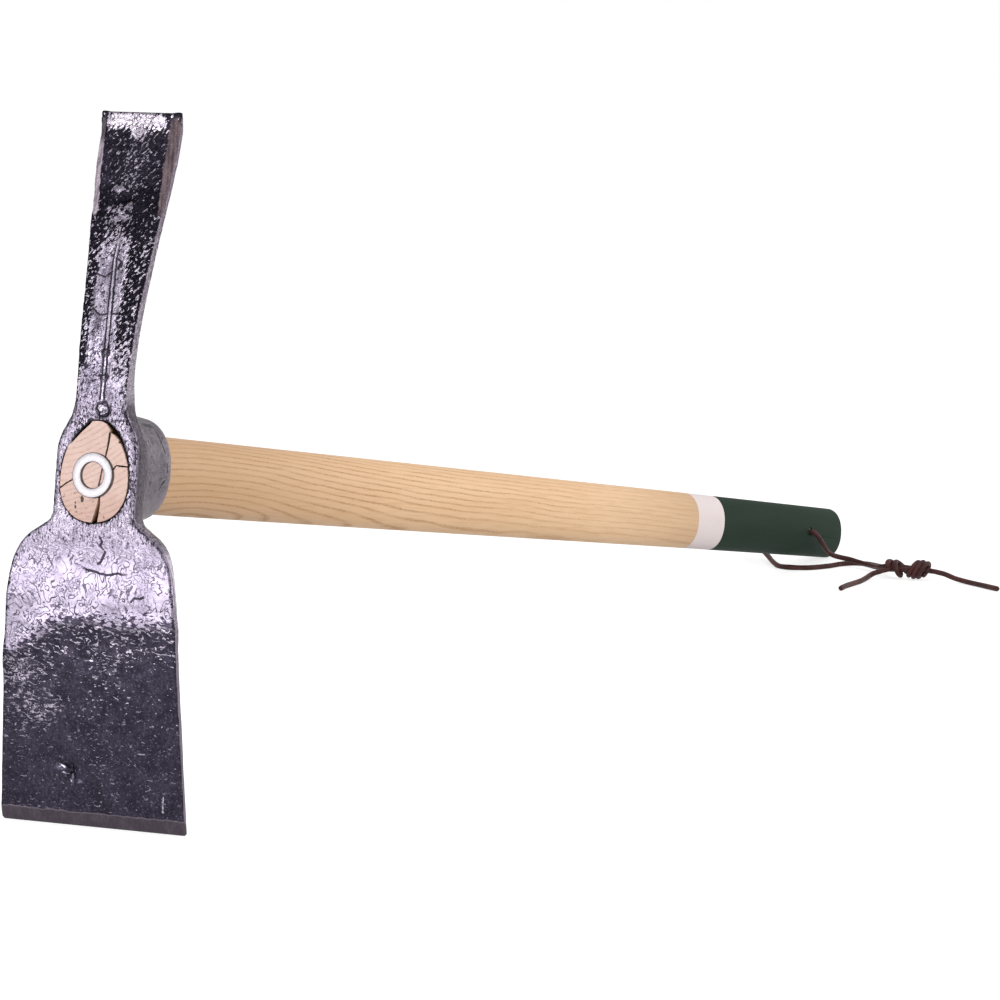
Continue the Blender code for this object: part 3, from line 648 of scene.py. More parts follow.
# Dark lines on the front face, through y, z points
MARKS = (
    ((-7.6, -36.0), (-6.4, -38.6), (-5.2, -40.9), (-4.0, -41.4)),
    ((-4.6, -29.8), (-6.0, -31.6), (-5.0, -33.4), (-6.6, -35.0)),
    ((9.6, -130.6), (9.3, -133.0), (8.2, -136.2)), ((12.6, -130.8), (10.4, -132.6)),
    ((11.6, -135.4), (9.9, -134.0)), ((-21, -57), (-22.6, -55.3), (-25.6, -55.3), (-27, -54.6)),
    ((3.5, 94), (-2.7, 91), (-2.2, 89)), ((9, 85.4), (5.2, 84.2), (-0.6, 88.4), (-2.2, 91.2)),
    ((9, 70.2), (5, 67.3), (1, 68), (-4.5, 68.2)), ((-11.5, 34), (-9.5, 33.6)),
)
# Bright lines on the front face, through y, z points: scratches and a nick, and painted glints round the
# pit
GLINTS_AND_SCRATCHES = (
    ((16, -130.5), (13, -132)), ((14, -134), (11.3, -134.8)), ((11.3, -135.7), (9.5, -138.6)),
    ((8.3, -133), (8, -134)), ((-36.3, -131), (-36.2, -135)), ((-36.2, -141), (-36.0, -148)),
    ((-12.1, -141), (-12.2, -144.5)), ((-46.3, -149.5), (-47, -152)),
    ((-17.5, 112), (-15.5, 110.5), (-14.5, 112.5)),
)
# Scars along the collar's side, through x, z points
SCARS = (
    ((19.6, 20.7), (28.5, 20.4), (28.7, 16.6), (30.2, 12.0), (31.7, 9.2)),
    ((31.5, -3.4), (28.6, -5.0), (27.6, -7.0)), ((30.6, -3.8), (29.4, -4.6)),
    ((12.0, 12.9), (12.3, 12.4)), ((15.2, 13.5), (15.5, 13.3)), ((33.0, 4.0), (33.2, 1.0)),
)


def head_skin():
    """The forging's solid, in the shaft frame, with an even skin of small faces."""
    source = put_in_scene("head_source", welded_copy("hoe_head", "head_source"))
    remesh = source.modifiers.new("skin", "REMESH")
    remesh.mode = "VOXEL"
    remesh.voxel_size = HEAD_VOXEL
    bpy.context.view_layer.update()
    graph = bpy.context.evaluated_depsgraph_get()
    mesh = bpy.data.meshes.new_from_object(source.evaluated_get(graph))
    bpy.data.objects.remove(source, do_unlink=True)
    mesh.transform(shaft.inverted())
    return mesh


def head_mesh():
    """The forging, with its hammered relief, and what the steel needs to know of each place."""
    mesh = head_skin()
    count = len(mesh.vertices)
    place = numbers(mesh.vertices, "co", 3) * 1000
    # Forged by hand: towards its end the narrow blade is a little wider and leans to the right
    lean = np.clip((place[:, 2] - 60) / 98, 0, 1) ** 1.3
    place[:, 1] = place[:, 1] * (1 + TIP_WIDER * lean) - TIP_LEAN_MM * lean
    place[:, 2] -= TIP_DROP_MM * lean
    normals = numbers(mesh.vertices, "normal", 3)
    x, y, z = place.T
    front = ease(-normals[:, 0], 0.3, 0.8)
    # Edges of the front face: what isn't front spreads from vertex to vertex, thinly at first
    one, other = numbers(mesh.edges, "vertices", 2, np.int32).T
    degree = np.bincount(one, minlength=count) + np.bincount(other, minlength=count)
    edge = 1 - front
    for spread in range(1, EDGE_SPREADS + 1):
        around = np.bincount(one, edge[other], count) + np.bincount(other, edge[one], count)
        edge = 0.5 * edge + 0.5 * around / degree
        # The mask for the painted shade lines along the edges is the spread after a few steps
        if spread == EDGE_SHADE_SPREADS:
            edge_shade = edge
    into = np.clip(x / (COLLAR_LENGTH * 1000), 0, 1)
    half_width = EYE_WIDTH * 500 + (COLLAR_BORE_MM[0] - EYE_WIDTH * 500) * into
    half_height = EYE_HEIGHT * 500 + (COLLAR_BORE_MM[1] - EYE_HEIGHT * 500) * into
    reach = np.hypot(y / half_width, (z + 1.0) / half_height)
    bore = 1 - ease(reach + 0.05 * front, 1.02, 1.10)
    collar = ease(x, BOSS_THICKNESS * 1000 + 1, BOSS_THICKNESS * 1000 + 4) * (np.abs(z) < 34)

    wide = ease(-z, 26, 34)
    narrow = ease(z, 26, 34)
    boss = (1 - wide) * (1 - narrow)
    bevel_mm = -z - (WIDE_REACH - WIDE_BEVEL) * 1000
    tip_mm = z - (NARROW_REACH - NARROW_BEVEL) * 1000
    edge_fade = (1 - ease(bevel_mm, -1.0, 1.0)) * (1 - ease(tip_mm, -1.0, 1.5))

    # Down to a wavy line on the wide blade the steel is light, partly worn scale and partly a painted
    # reflection of the lamp above, and the blade swells a little
    line = np.interp(y, [-44, -9, -3, 5, 15, 27, 42], [65, 67, 65, 66, 66.5, 74, 83])
    below = -z - line + 1.5 * field(place, 7, 3, 4.4)
    left = ease(y, 10, 28)
    swell = (0.34 + 0.50 * left) * np.exp(-((below - 2.5) / (5.0 + 4.0 * left)) ** 2) * wide

    # The narrow blade is smooth and worn along the middle, and crumpled at its sides and its end
    strip = ease(y, -5.5, -2.5) * (1 - ease(y, 8.5, 10.5)) * (1 - ease(z, 88, 106))
    strip = np.maximum(strip, (1 - ease(z, 34, 50)) * ease(-np.abs(y), -12, -10))
    rough_narrow = narrow * (1 - np.clip(strip, 0, 1)) * (1 - 0.35 * ease(z, 118, 130))
    rough_wide = wide * ease(below, 0, 4) * (1 - 0.75 * ease(-z, 84, 112))

    # How much of the surface is bright, from 0 to 1, region by region
    bright = np.interp(
        below,
        [-30, -8, -3, 1, 4, 9, 18, 30, 60],
        [0.988, 0.965, 0.85, 0.52, 0.28, 0.20, 0.12, 0.045, 0.020],
    )
    bright -= 0.12 * ease(-field(place, 22, 2, 6.2), 0.0, 0.6) * ease(below, 4, 10) * (below < 50)
    near = ease(z, -40, -28) * (z < 0)
    bright = bright * (1 - near) + 0.82 * near
    patch = blot(y, z, (34, -91), (8, 8), 1.5)
    patch = np.maximum(patch, 0.8 * blot(y, z, (28, -106), (11, 7)))
    patch = np.maximum(patch, 0.6 * blot(y, z, (41, -84), (5, 16), 2))
    patch *= 0.8 + 0.6 * field(place, 5, 2, 2.2)
    patch *= z < -60
    bright = np.maximum(bright, 0.66 * patch)
    top = 0.11 + 0.17 * np.exp(-(((y + 1) / 6) ** 2)) * ease(z, 120, 128)
    top = np.maximum(top, 0.72 * blot(y, z, (2, 110), (7, 6)))
    # Painted glint: the narrow blade's end is light, partly worn steel and partly a painted glint of the
    # lamp, reaching further down in the middle
    glint = ease(z, 148.0, 153) * ease(-np.abs(y - 0.5), -15.5, -13.5)
    glint = np.maximum(glint, 0.9 * ease(z - 1.5 * np.abs(y + 1), 138, 148))
    top = np.maximum(top, 0.93 * glint)
    low = np.interp(y, [-13, -11, -6, -4, 8, 9.5, 12.5], [0.42, 0.20, 0.18, 0.84, 0.84, 0.34, 0.24])
    low = np.where(z < 45, np.maximum(low, 0.76 * ease(-z, -52, -40)), low)
    upward = low * (1 - ease(z, 96, 108)) + top * ease(z, 96, 108)
    rim = ease(z, 24, 30)
    around = 0.78 + 0.08 * ease(y, 6, 14) - mound(y, z, (7.5, 19.0), (6.0, 5.0), 0.24)
    around -= 0.14 * ease(z, 14, 22)
    upward = np.where((y < -3) & (z < 62), np.maximum(upward, 0.62 * ease(-z, -60, -52)), upward)
    upward = upward - 0.10 * ease(y, 1, 4) * ease(-z, -60, -48)
    bright = np.where(z > 0, around * (1 - rim) + upward * rim, bright)
    bright = np.where((z <= 0) & (z > -27), around + 0.04 * ease(-z, 20, 27), bright)
    # Painted shade: the front face is darker near its edges, where the surface turns away from the light
    bright -= 0.34 * ease(edge, 0.06, 0.32) * ease(front, 0.5, 1) * (bright > 0.4)
    bright = np.clip(bright, 0.01, 0.99)

    broad = 0.26 * field(place, 24, 2, 3.1)
    crumple = field(place, 3.6, 3, 7.7, (1, 1.15, 0.85))
    ripples = field(place, 3.4, 2, 1.7, (1, 0.6, 1.25))
    grain = field(place, 2.2, 2, 5.5)
    height = broad * (wide + narrow * 0.5) + swell
    height += rough_narrow * 0.32 * crumple * (0.25 + 0.75 * front)
    height += rough_wide * 0.07 * ripples + (1 - ease(below, -2, 1)) * wide * 0.035 * crumple
    height += boss * (1 - collar) * 0.15 * grain + collar * 0.04 * crumple
    height += front * sum(mound(y, z, *shape) for shape in MOUNDS)
    # The eye's upper left lip is hammered in over the chipped tenon
    around_eye = np.degrees(np.arctan2(z + LIP_MIDDLE_DROP_MM, y))
    lip = ease(around_eye, 26, 40) * (1 - ease(around_eye, 68, 84)) * (1 - ease(x, 4, 9))
    lip *= (1 - ease(reach, 1.03, 1.28)) * (x < 12)
    push = LIP_PUSH_MM * lip / np.maximum(np.hypot(y, z + LIP_MIDDLE_DROP_MM), 1)
    height *= (1 - bore) * edge_fade
    height += 0.10 * np.clip(z - 149, 0, 10) * front
    for at, size, share, level in SPOTS:
        bright = np.where(mound(y, z, at, size, 1) > share, level, bright)
    place = place + normals * height[:, None]
    place[:, 1] -= push * y
    place[:, 2] -= push * (z + LIP_MIDDLE_DROP_MM)

    mesh.vertices.foreach_set("co", (place / 1000).ravel())
    facet_start = (NARROW_REACH - FACET_LENGTH) * 1000
    left_border = np.interp(z, [110, 116, 141], [14.6, 13.5, 15.6])
    border = np.where(y > 0, left_border, np.interp(z, [110, 114], [17.2, 16.0]))
    facet_mm = np.minimum(np.abs(y) - border, (z - facet_start) * 0.35)
    facet_mm = np.minimum(facet_mm, (NARROW_REACH * 1000 - 3.5 - z) * 0.35)
    flank = ease(np.abs(normals[:, 1]), 0.72, 0.92) * (1 - bore)
    collar = np.maximum(collar, flank * boss)
    seam = np.interp(z, [26, 40, 54, 74, 91, 106], [-0.9, -0.8, -0.5, 0.5, 1.3, 1.0])
    crack = np.interp(y, [-20, -14, -9.5, -5, -1, 3, 6], [-45.4, -45, -46, -45.5, -44.7, -44, -42.5])
    # The gate is the value above which a noise shows the steel bright, for that share of the place
    gate = 0.5 - 0.0588 * np.log(bright / (1 - bright))
    surface = {
        "bevel_mm": np.where((front > 0.2) | (z < -150), bevel_mm, -6),
        "facet_mm": np.where((front > 0.1) & (z > 0), facet_mm, -6),
        "wide": wide, "narrow": narrow, "front": front, "collar": collar, "bore": bore,
        "bright": bright, "gate": gate, "rough": rough_narrow, "patch": patch * front,
        "edge_shade": edge_shade * ease(front, 0.3, 0.9),
        "side": flank * (1 - collar),
        "seam_mm": y - seam,
        "crack_mm": z - crack,
        "scar_mm": np.where((y < -8) & (x > 9), line_distance(x, z, SCARS), 99),
        "mark_mm": np.where(front > 0.3, line_distance(y, z, MARKS), 99),
        "glint_and_scratch_mm": np.where(front > 0.3, line_distance(y, z, GLINTS_AND_SCRATCHES), 99),
    }
    for name, values in surface.items():
        made = mesh.attributes.new(name, "FLOAT", "POINT")
        made.data.foreach_set("value", np.asarray(values, np.float32))
    mesh.transform(shaft)
    mesh.shade_smooth()
    return mesh


def steel_material():
    shader = Shader("forged_steel")
    step, fall, band, add = shader.step, shader.fall, shader.band, shader.add
    times, largest, blend, paint = shader.times, shader.largest, shader.blend, shader.paint
    noise, ragged, invert, attribute = shader.noise, shader.ragged, shader.invert, shader.attribute
    x, y, z = shader.shaft_space()
    names = ("wide", "narrow", "front", "rough", "collar", "bright", "patch")
    wide, narrow, front, rough, collar, bright_share, patch = map(attribute, names)
    boss = times(invert(wide), invert(narrow))

    # The noise that parts the light tone from dark scale: dashes below, wrinkles above, grain between.
    # The light tone is bright steel, and in places painted reflections and glints
    dash_noise = noise(1.35, stretch=(1, 0.50, 1.20))
    fine = noise(1.15, roughness=0.6)
    crisp = noise(0.70, roughness=0.6)
    streaky = noise(1.05, detail=3, roughness=0.6, stretch=(1, 1.15, 0.62))
    downhill = times(shader.math("SUBTRACT", z, y), 0.40)
    turned = shader.join(x, times(add(y, z), 0.75), downhill)
    wrinkles = noise(1.25, detail=3, roughness=0.58, distortion=0.5, place=turned)
    by_grain = largest(patch, boss, step(z, -42, -32))
    by_grain = times(by_grain, fall(z, 30, 40))
    grains = add(times(streaky, invert(patch)), times(crisp, patch))
    noise_mix = add(times(dash_noise, wide), times(wrinkles, narrow), times(streaky, boss))
    noise_mix = add(times(noise_mix, invert(by_grain)), times(grains, by_grain))
    over = shader.math("SUBTRACT", noise_mix, attribute("gate"))
    soft = times(by_grain, invert(patch))
    lit = blend(soft, step(over, -0.018, 0.022), step(over, -0.065, 0.070))

    # Low on the wide blade the light tone shows in short waves, each a piece of a long thin line: painted
    # glints, as where small bumps catch the lamp
    slanted = shader.join(x, times(y, 0.36), add(z, times(y, -0.15)))
    waves = noise(2.3, roughness=0.55, distortion=0.4, place=slanted)
    wave = fall(shader.away(waves, 0.5), 0.016, 0.043)
    pieces = noise(1.35, detail=1, stretch=(1, 0.58, 1.1))
    pieces = shader.math("SUBTRACT", pieces, attribute("gate"))
    glint_dashes = times(wave, step(pieces, -0.104, -0.062))
    at_left = times(step(y, -22, -36), step(z, -118, -100), 0.3)
    strength = add(step(noise(3.2), 0.36, 0.62, 0.38, 1.0), at_left)
    glint_dashes = times(glint_dashes, strength, step(z, -122, -94, 0.45, 1.0))
    thin = times(fall(bright_share, 0.30, 0.50), wide, invert(by_grain))
    lit = add(times(lit, invert(thin)), times(glint_dashes, thin))

    # Flakes of scale: terraces, with a thin dark line where one ends
    levels = times(noise(8.2, detail=2.7, roughness=0.56, distortion=0.35), 8.0)
    terrace = add(shader.math("FLOOR", levels), step(shader.math("FRACT", levels), 0.80, 1.0))
    lines = fall(shader.math("PINGPONG", add(levels, 0.06), 0.5), 0.05, 0.14)
    gaps = step(noise(9), 0.42, 0.54)
    lines = times(lines, add(0.15, times(gaps, 0.85)))
    small = times(noise(4.4, detail=3, roughness=0.55), 7.0)
    small_lines = fall(shader.math("PINGPONG", small, 0.5), 0.05, 0.15)
    small_gaps = step(noise(12), 0.46, 0.56)
    lines = largest(lines, times(small_lines, small_gaps, 0.62))
    flaky = times(step(bright_share, 0.45, 0.80), add(wide, narrow), invert(times(by_grain, 0.6)))

    # Ground parts
    bevel_line = ragged(attribute("bevel_mm"), noise(4, detail=3), 1.8)
    bevel = step(bevel_line, -0.12, 0.2)
    facet_line = ragged(attribute("facet_mm"), noise(5, detail=4), 3.0)
    facet = step(facet_line, -0.3, 0.5)
    ground = largest(bevel, facet)
    streaks = noise(0.5, detail=3, stretch=(1, 1, 0.04))

    tone_noise = noise(9, detail=4)
    mixed = step(tone_noise, 0.35, 0.65)
    glint_dots = step(noise(0.75, detail=1, stretch=(1, 0.8, 1)), 0.56, 0.74)
    dark_tone = paint(
        blend(mixed, (44, 41, 52), (58, 54, 67)),
        # Painted shade: darker in the hollows of the narrow blade's crumples
        ((20, 18, 24), rough, 0.85),
        ((36, 33, 41), by_grain),
        # Painted glints: small bright dots low on the wide blade
        ((106, 99, 114), glint_dots, thin, 0.55),
        ((36, 33, 42), step(noise(1.6, detail=3), 0.45, 0.62), thin, 0.55),
    )
    cloud = step(noise(4.5, detail=3), 0.38, 0.62)
    cloud = times(add(0.12, times(cloud, 0.42)), step(z, 18, 30, 1.0, 0.3))
    cloud = times(boss, cloud, step(z, -30, -20, 0.5, 1.0))
    # Painted highlights: the light tone is brighter on the crumples' peaks, where bright steel is sparse,
    # and at the narrow blade's end; in the boss's clouds too
    strong = largest(rough, step(bright_share, 0.5, 0.3), cloud, step(z, 146, 150))
    # Painted sheen: on the narrow blade the light tone runs in lighter and darker streaks, darker low on
    # the blade and brighter higher up, as the light falls
    sheen = step(noise(2.6, detail=4, roughness=0.6, stretch=(1, 1, 0.22)), 0.38, 0.62)
    low_sheen = blend(sheen, (88, 81, 95), (146, 138, 154))
    high_sheen = blend(sheen, (112, 104, 120), (202, 193, 212))
    light_tone = paint(
        blend(mixed, (122, 114, 130), (140, 132, 148)),
        (blend(step(z, 38, 60), low_sheen, high_sheen), narrow, 0.75),
        ((178, 169, 184), strong, 0.9),
        ((138, 130, 144), step(z, 98, 108)),
        # Painted glint, with worn steel, at the narrow blade's end
        ((204, 195, 209), step(z, 143, 152)),
    )
    collar_noise = noise(4.0, detail=4, roughness=0.6)
    scar_line = ragged(attribute("scar_mm"), noise(1.6), 1.4)
    scar = fall(scar_line, 0.60, 1.05)
    collar_tone = paint(
        blend(step(collar_noise, 0.32, 0.62), (74, 67, 75), (100, 92, 99)),
        ((142, 132, 140), step(x, 33, 37.5, 0.0, 0.45)),
        ((124, 114, 122), step(z, 2, -16, 0.0, 0.40)),
        ((52, 46, 54), step(x, 14, 9, 0.0, 0.60)),
        ((34, 30, 36), step(noise(2.2, detail=1), 0.68, 0.73, 0.0, 0.85)),
        ((146, 136, 144), step(scar_line, 1.2, 1.6, 0.35, 0.0)),
        ((24, 20, 26), scar, 0.92),
    )
    smudge = noise(3.2, detail=4, roughness=0.6, stretch=(1, 1, 0.7))
    tone = paint(
        blend(lit, dark_tone, light_tone),
        ((62, 57, 68), step(smudge, 0.46, 0.64), soft, 0.42),
        ((40, 36, 47), lines, flaky, 0.84),
        (blend(streaks, (118, 110, 120), (142, 133, 144)), attribute("side"), 0.9),
        (collar_tone, collar, 0.95),
    )
    soft_streaks = step(noise(1.1, detail=3, stretch=(1, 1, 0.03)), 0.3, 0.7)
    bevel_tone = paint(
        blend(soft_streaks, (74, 67, 75), (86, 78, 86)),
        ((64, 58, 66), step(tone_noise, 0.4, 0.6, 0.0, 0.5)),
        ((118, 108, 118), step(shader.away(bevel_line, 0.3), 0.1, 0.5, 0.5, 0.0)),
    )
    # Painted light: the ground facets have one finish, the left painted lighter as lit and the right
    # darker as in shade
    lit_left_facet = blend(soft_streaks, (128, 116, 128), (176, 163, 176))
    lit_left_facet = paint(lit_left_facet, ((62, 55, 63), step(z, 142, 148), 0.85))
    shaded_right_facet = blend(soft_streaks, (70, 60, 66), (112, 98, 102))
    facet_tone = blend(step(y, 0, 1), shaded_right_facet, lit_left_facet)
    tone = blend(ground, tone, blend(facet, bevel_tone, facet_tone))

    # The forging seam is a bright bead between two dark lines, and ends in a punched mark
    seam_noise = noise(2.5, detail=3)
    off = shader.math("ABSOLUTE", ragged(attribute("seam_mm"), seam_noise, 0.9))
    span = times(band(z, 29.5, 31, 92, 108), front)
    bead = times(fall(off, 0.18, 0.50), span)
    grooves = times(band(off, 0.42, 0.70, 1.05, 1.55), span)
    mark_noise = noise(1.8)
    mark = ragged(shader.from_point(y, z, (-1.9, 26.1)), mark_noise, 2.4)
    mark_ring = times(band(mark, 2.0, 2.6, 3.1, 3.9), front)
    mark = ragged(shader.from_point(y, z, (-1.0, 26.8)), mark_noise, 2.4)
    mark_top = times(fall(mark, 1.1, 1.7), front)
    tear = noise(3, detail=3)
    crack = shader.math("ABSOLUTE", ragged(attribute("crack_mm"), tear, 1.4))
    crack = times(fall(crack, 0.15, 0.60), band(y, -20, -15, 2, 5), front, wide)
    torn = ragged(attribute("mark_mm"), tear, 0.8)
    scratch = noise(2.4, detail=3, roughness=0.6, stretch=(1, 1, 0.7))
    scratch = fall(shader.away(scratch, 0.5), 0.006, 0.020)
    scratch_field = step(noise(5, detail=1), 0.47, 0.55)
    raw = invert(ground)
    scratch = times(scratch, scratch_field, narrow, front, step(z, 36, 44), raw, 0.8)
    cut = largest(grooves, mark_ring, crack, fall(torn, 0.20, 0.62), scratch)
    for at in ((-0.6, 51.0), (-1.0, 40.0)):
        lump = ragged(shader.from_point(y, z, at), mark_noise, 1.2)
        cut = largest(cut, times(band(lump, 0.5, 1.1, 1.9, 2.5), front))
        bead = times(bead, step(lump, 1.4, 2.0, 0.15, 1.0))
    glint = ragged(attribute("glint_and_scratch_mm"), seam_noise, 1.2)
    edge_shade_line = ragged(attribute("edge_shade"), mark_noise, 0.24)
    tone = paint(
        tone,
        ((30, 27, 35), cut, 0.92),
        ((186, 178, 194), largest(bead, mark_top), 0.8),
        ((196, 188, 204), fall(glint, 0.02, 0.36), step(tear, 0.36, 0.50), 0.85),
        # Painted shade: thin dark lines along the front face's edges and along the narrow blade's end
        ((34, 31, 40), step(edge_shade_line, 0.19, 0.33), raw, 0.82),
        ((40, 36, 42), step(z, 157.0, 157.9), narrow, 0.85),
        ((26, 24, 30), attribute("bore")),
    )

    fine_height = add(times(by_grain, 0.30), times(boss, 0.10), times(rough, 0.08), 0.03)
    wrinkle_height = times(add(rough, times(narrow, 0.15)), 0.75)
    shader.relief(add(
        times(terrace, flaky, 0.05), times(fine, fine_height),
        times(wrinkles, wrinkle_height), times(lit, wide, invert(flaky), 0.10),
        times(lines, flaky, -0.07), times(cut, -0.35), times(bead, 0.10),
        times(streaks, ground, 0.02), times(collar_noise, collar, 0.25),
        times(scar, -0.25),
    ))
    shine = add(
        step(fine, 0.2, 0.8, 0.17, 0.26), times(collar, 0.20),
        times(ground, 0.16), times(patch, 0.10),
    )
    # Dark scale doesn't turn bright when it is seen from the side, as bare steel does
    bare = largest(lit, ground, times(collar, 0.7))
    tint = blend(bare, (120, 120, 124), (255, 255, 255))
    shader.set(Base_Color=tone, Metallic=1.0, Roughness=shine, Specular_Tint=tint)
    return shader.material


add_object("forged_head", head_mesh(), steel_material(), "forged_steel", "hoe_head")


# Handle


# Dark lines and pits on the tenon's end: half the width, then y, z points across the shaft
END_LINES = (
    (0.34, (-4.9, 4.6), (-5.8, 10.2), (-6.3, 15.8)),
    (0.32, (-9.0, -0.8), (-10.6, 1.8), (-16.2, 1.5)),
    (0.32, (10.8, -5.5), (13.8, -7.2), (16.6, -9.3)),
    (0.30, (-3.3, -12.2), (-3.2, -15.6)),
    (0.46, (-3.9, 0.0), (-3.3, -3.6), (-2.8, -7.4)),
    (0.78, (5.2, -13.2), (5.1, -14.2)),
    (0.30, (8.4, -15.1), (8.4, -15.4)),
    (0.45, (8.3, -17.0), (8.2, -17.5)),
    (0.28, (9.0, -11.2), (9.0, -11.4)),
    (0.35, (-11.6, 12.4), (-11.4, 11.8)),
)


def ash_material():
    shader = Shader("ash")
    step, fall, band, add = shader.step, shader.fall, shader.band, shader.add
    times, largest, blend, paint = shader.times, shader.largest, shader.blend, shader.paint
    noise = shader.noise
    x, y, z = shader.shaft_space()
    # Growth rings round a pith that lies outside the stick. They run out of it along its length
    drift = add(step(x, 12, 85, -2.4, 0.0), step(x, 85, 340, 0.0, -7.0), times(x, -0.007))
    wander = noise(1, stretch=(0.010, 0.05, 0.05))
    jitter = noise(1, detail=3, stretch=(0.10, 0.4, 0.4))
    radius = add(shader.from_point(y, z, PITH_MM), drift, times(wander, 3.4), times(jitter, 0.55))
    arch_x = times(add(x, -92), 1 / 52)
    arch_z = times(add(z, 19.5), 1 / 9)
    arch = add(times(arch_x, arch_x), times(arch_z, arch_z))
    arch = shader.math("POWER", math.e, times(arch, -1.0))
    radius = add(radius, times(arch, 3.6))
    ring = shader.math("FRACT", times(radius, 1 / GROWTH_RING_MM))
    fade = step(x, 220, 640, 1.0, 0.30)
    patchy = noise(1, stretch=(0.016, 0.28, 0.28))
    fade = times(fade, step(patchy, 0.34, 0.60, 0.35, 1.0))
    early = band(ring, 0.0, 0.16, 0.20, 0.46)
    pores = times(step(noise(0.50, stretch=(0.32, 1, 1)), 0.50, 0.62), early)
    broad = noise(2.4, detail=3, stretch=(0.02, 0.25, 0.25))
    fibre = noise(0.7, detail=3, stretch=(0.03, 1, 1))
    wood = paint(
        blend(broad, (233, 189, 144), (246, 208, 166)),
        ((214, 166, 118), step(fibre, 0.45, 0.7), 0.35),
        ((186, 134, 86), early, fade, 0.42),
        ((150, 100, 58), pores, fade, 0.62),
        # Painted shade: the wood is darker towards the head, which blocks some of the light there
        ((176, 134, 98), step(x, 60, 330, 0.52, 0.0)),
    )

    # The tenon's end
    end_face = fall(x, 0.6, 1.4)
    end_pores = times(step(noise(0.5, detail=3, stretch=(0, 1, 1)), 0.52, 0.64), early)
    grouped = step(noise(4.5, stretch=(0, 1, 1)), 0.40, 0.62)
    spots = times(noise(1.7, stretch=(0, 1, 1)), step(z, 0, -12))
    uneven = noise(1.1)
    dark = []
    for half_width, *route in END_LINES:
        line = shader.ragged(shader.from_line(y, z, *route), uneven, 0.7)
        dark.append(fall(line, half_width - 0.1, half_width + 0.15))
    # The ring stands in a groove. Painted shadows: a dark crescent on the wood outside the ring at its
    # lower right, and one inside it at its left, where the groove and the ring's wall lie in shade
    from_ring = shader.from_point(y, z, RING_CENTRE)
    outside = shader.from_point(y, z, (RING_CENTRE[0] - 1.05, RING_CENTRE[1] - 0.1))
    outside = times(fall(outside, 9.85, 10.15), step(from_ring, 8.5, 9.0))
    inside = shader.from_point(y, z, (RING_CENTRE[0] - 0.95, RING_CENTRE[1] + 0.1))
    inside = times(step(inside, 5.70, 5.95), fall(from_ring, 7.0, 7.5))
    end_wood = paint(
        blend(noise(3, detail=3, stretch=(0, 0.5, 0.5)), (222, 186, 173), (242, 213, 203)),
        ((200, 150, 134), early, grouped, 0.20),
        ((156, 108, 88), end_pores, grouped, 0.30),
        ((190, 142, 124), step(z, -4, -20, 0.0, 0.30)),
        ((120, 72, 56), step(spots, 0.64, 0.70, 0.0, 0.7)),
        ((44, 24, 18), largest(*dark, outside, inside), 0.92),
    )

    # Painted shade: inside the splits, deeper in than the end face, the wood is darkened
    whole = blend(end_face, wood, end_wood)
    whole = paint(whole, ((62, 34, 22), band(x, 0.9, 3.5, 15, 16), 0.78))
    shader.set(Base_Color=whole, Roughness=step(early, 0, 1, 0.56, 0.68), Specular_IOR_Level=0.28)
    shader.relief(add(
        times(early, -0.03), times(pores, -0.05), times(broad, 0.05),
        times(end_pores, end_face, -0.08), times(noise(2.6, detail=3), end_face, 0.22),
    ))
    return shader.material


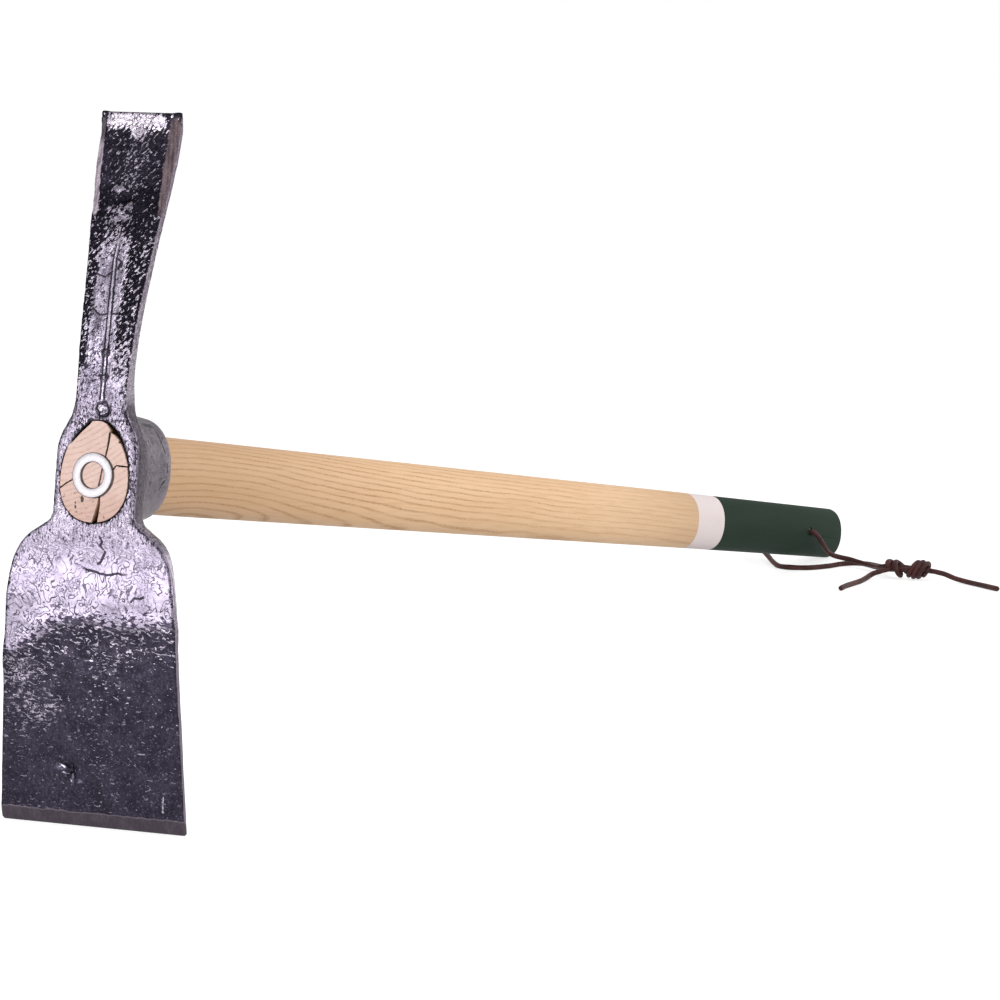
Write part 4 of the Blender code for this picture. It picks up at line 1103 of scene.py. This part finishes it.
def handle_mesh():
    """The handle's solid, with its end face shaded flat and its upper right chip made narrower."""
    mesh = welded_copy("handle", "ash_handle", 30)
    mesh.transform(shaft.inverted())
    place = numbers(mesh.vertices, "co", 3) * 1000
    x, y, z = place.T
    # Where each place is in the egg of the eye: its angle, and its reach as a share of the egg's
    rise = (z + EYE_DROP_MM) / (EYE_HEIGHT * 500)
    angle = np.arctan2(rise, y)
    for closer in range(6):
        aside = y / (EYE_WIDTH * 500 * (1 - EYE_EGG * np.sin(angle)))
        angle = np.arctan2(rise, aside)
    reach = np.hypot(aside, rise)
    degrees = np.degrees(angle)
    low, high = CHIP_DEGREES
    share = np.clip((degrees - low) / (high - low), 0, 1)
    chipped = 1 - CHIP_DEPTH * np.sqrt(np.abs(np.sin(math.pi * share)))
    at_chip = (np.abs(reach - chipped) < 0.02) & (share > 0.02) & (share < 0.98) & (x < 8)
    grown = np.interp(
        degrees,
        (98, 107, 117.4, 117.6, 122, 127, 137, 147, 157, 166, 176),
        (1, 0.985, 0.985, 0.875, 0.900, 0.925, 0.958, 0.968, 0.975, 0.985, 1),
    )
    grown = np.where(at_chip, grown / reach, 1)
    place[:, 1] *= grown
    place[:, 2] = (z + EYE_DROP_MM) * grown - EYE_DROP_MM
    mesh.vertices.foreach_set("co", (place / 1000).ravel())
    mesh.transform(shaft)
    mesh.update()
    mesh.set_sharp_from_angle(angle=math.radians(30))
    for face in mesh.polygons:
        if face.normal.dot(along) < -0.8:
            face.use_smooth = False
    return mesh


add_object("ash_handle", handle_mesh(), ash_material(), "ash", "handle")


# Ring wedge and coats


def bright_material():
    shader = Shader("bright_ring")
    shader.shaft_space()
    marks = shader.noise(0.8, detail=3)
    tone = shader.blend(marks, (154, 150, 155), (176, 172, 177))
    shader.set(Base_Color=tone, Metallic=1.0, Roughness=shader.step(marks, 0.3, 0.7, 0.38, 0.50))
    shader.relief(shader.times(marks, 0.03))
    return shader.material


def dip_material(name, low, high, roughness, sag, gloss):
    """A coat that the handle was dipped in: even colour, soft sags along the handle, fine dust."""
    shader = Shader(name)
    shader.shaft_space()
    sags = shader.noise(9, detail=3, stretch=(0.12, 1, 1))
    dust = shader.step(shader.noise(0.6, detail=1), 0.68, 0.78)
    shader.set(
        Base_Color=shader.blend(sags, low, high),
        Roughness=shader.step(sags, 0.3, 0.7, roughness, roughness + 0.08),
        Specular_IOR_Level=gloss,
    )
    shader.relief(shader.add(shader.times(sags, sag), shader.times(dust, 0.015)))
    return shader.material


white = dip_material("white_dip", (230, 216, 215), (240, 227, 226), 0.52, 0.18, 0.15)
green = dip_material("green_dip", (21, 38, 28), (31, 49, 38), 0.55, 0.22, 0.04)
for name, node, material, slot in (
    ("steel_ring", "ring_wedge", bright_material(), "bright_steel"),
    ("white_coat", "white_band", white, "white_dip"),
    ("green_coat", "grip_coat", green, "green_dip"),
):
    add_object(name, welded_copy(node, name), material, slot, node)

bpy.context.scene.view_settings.view_transform = "Standard"
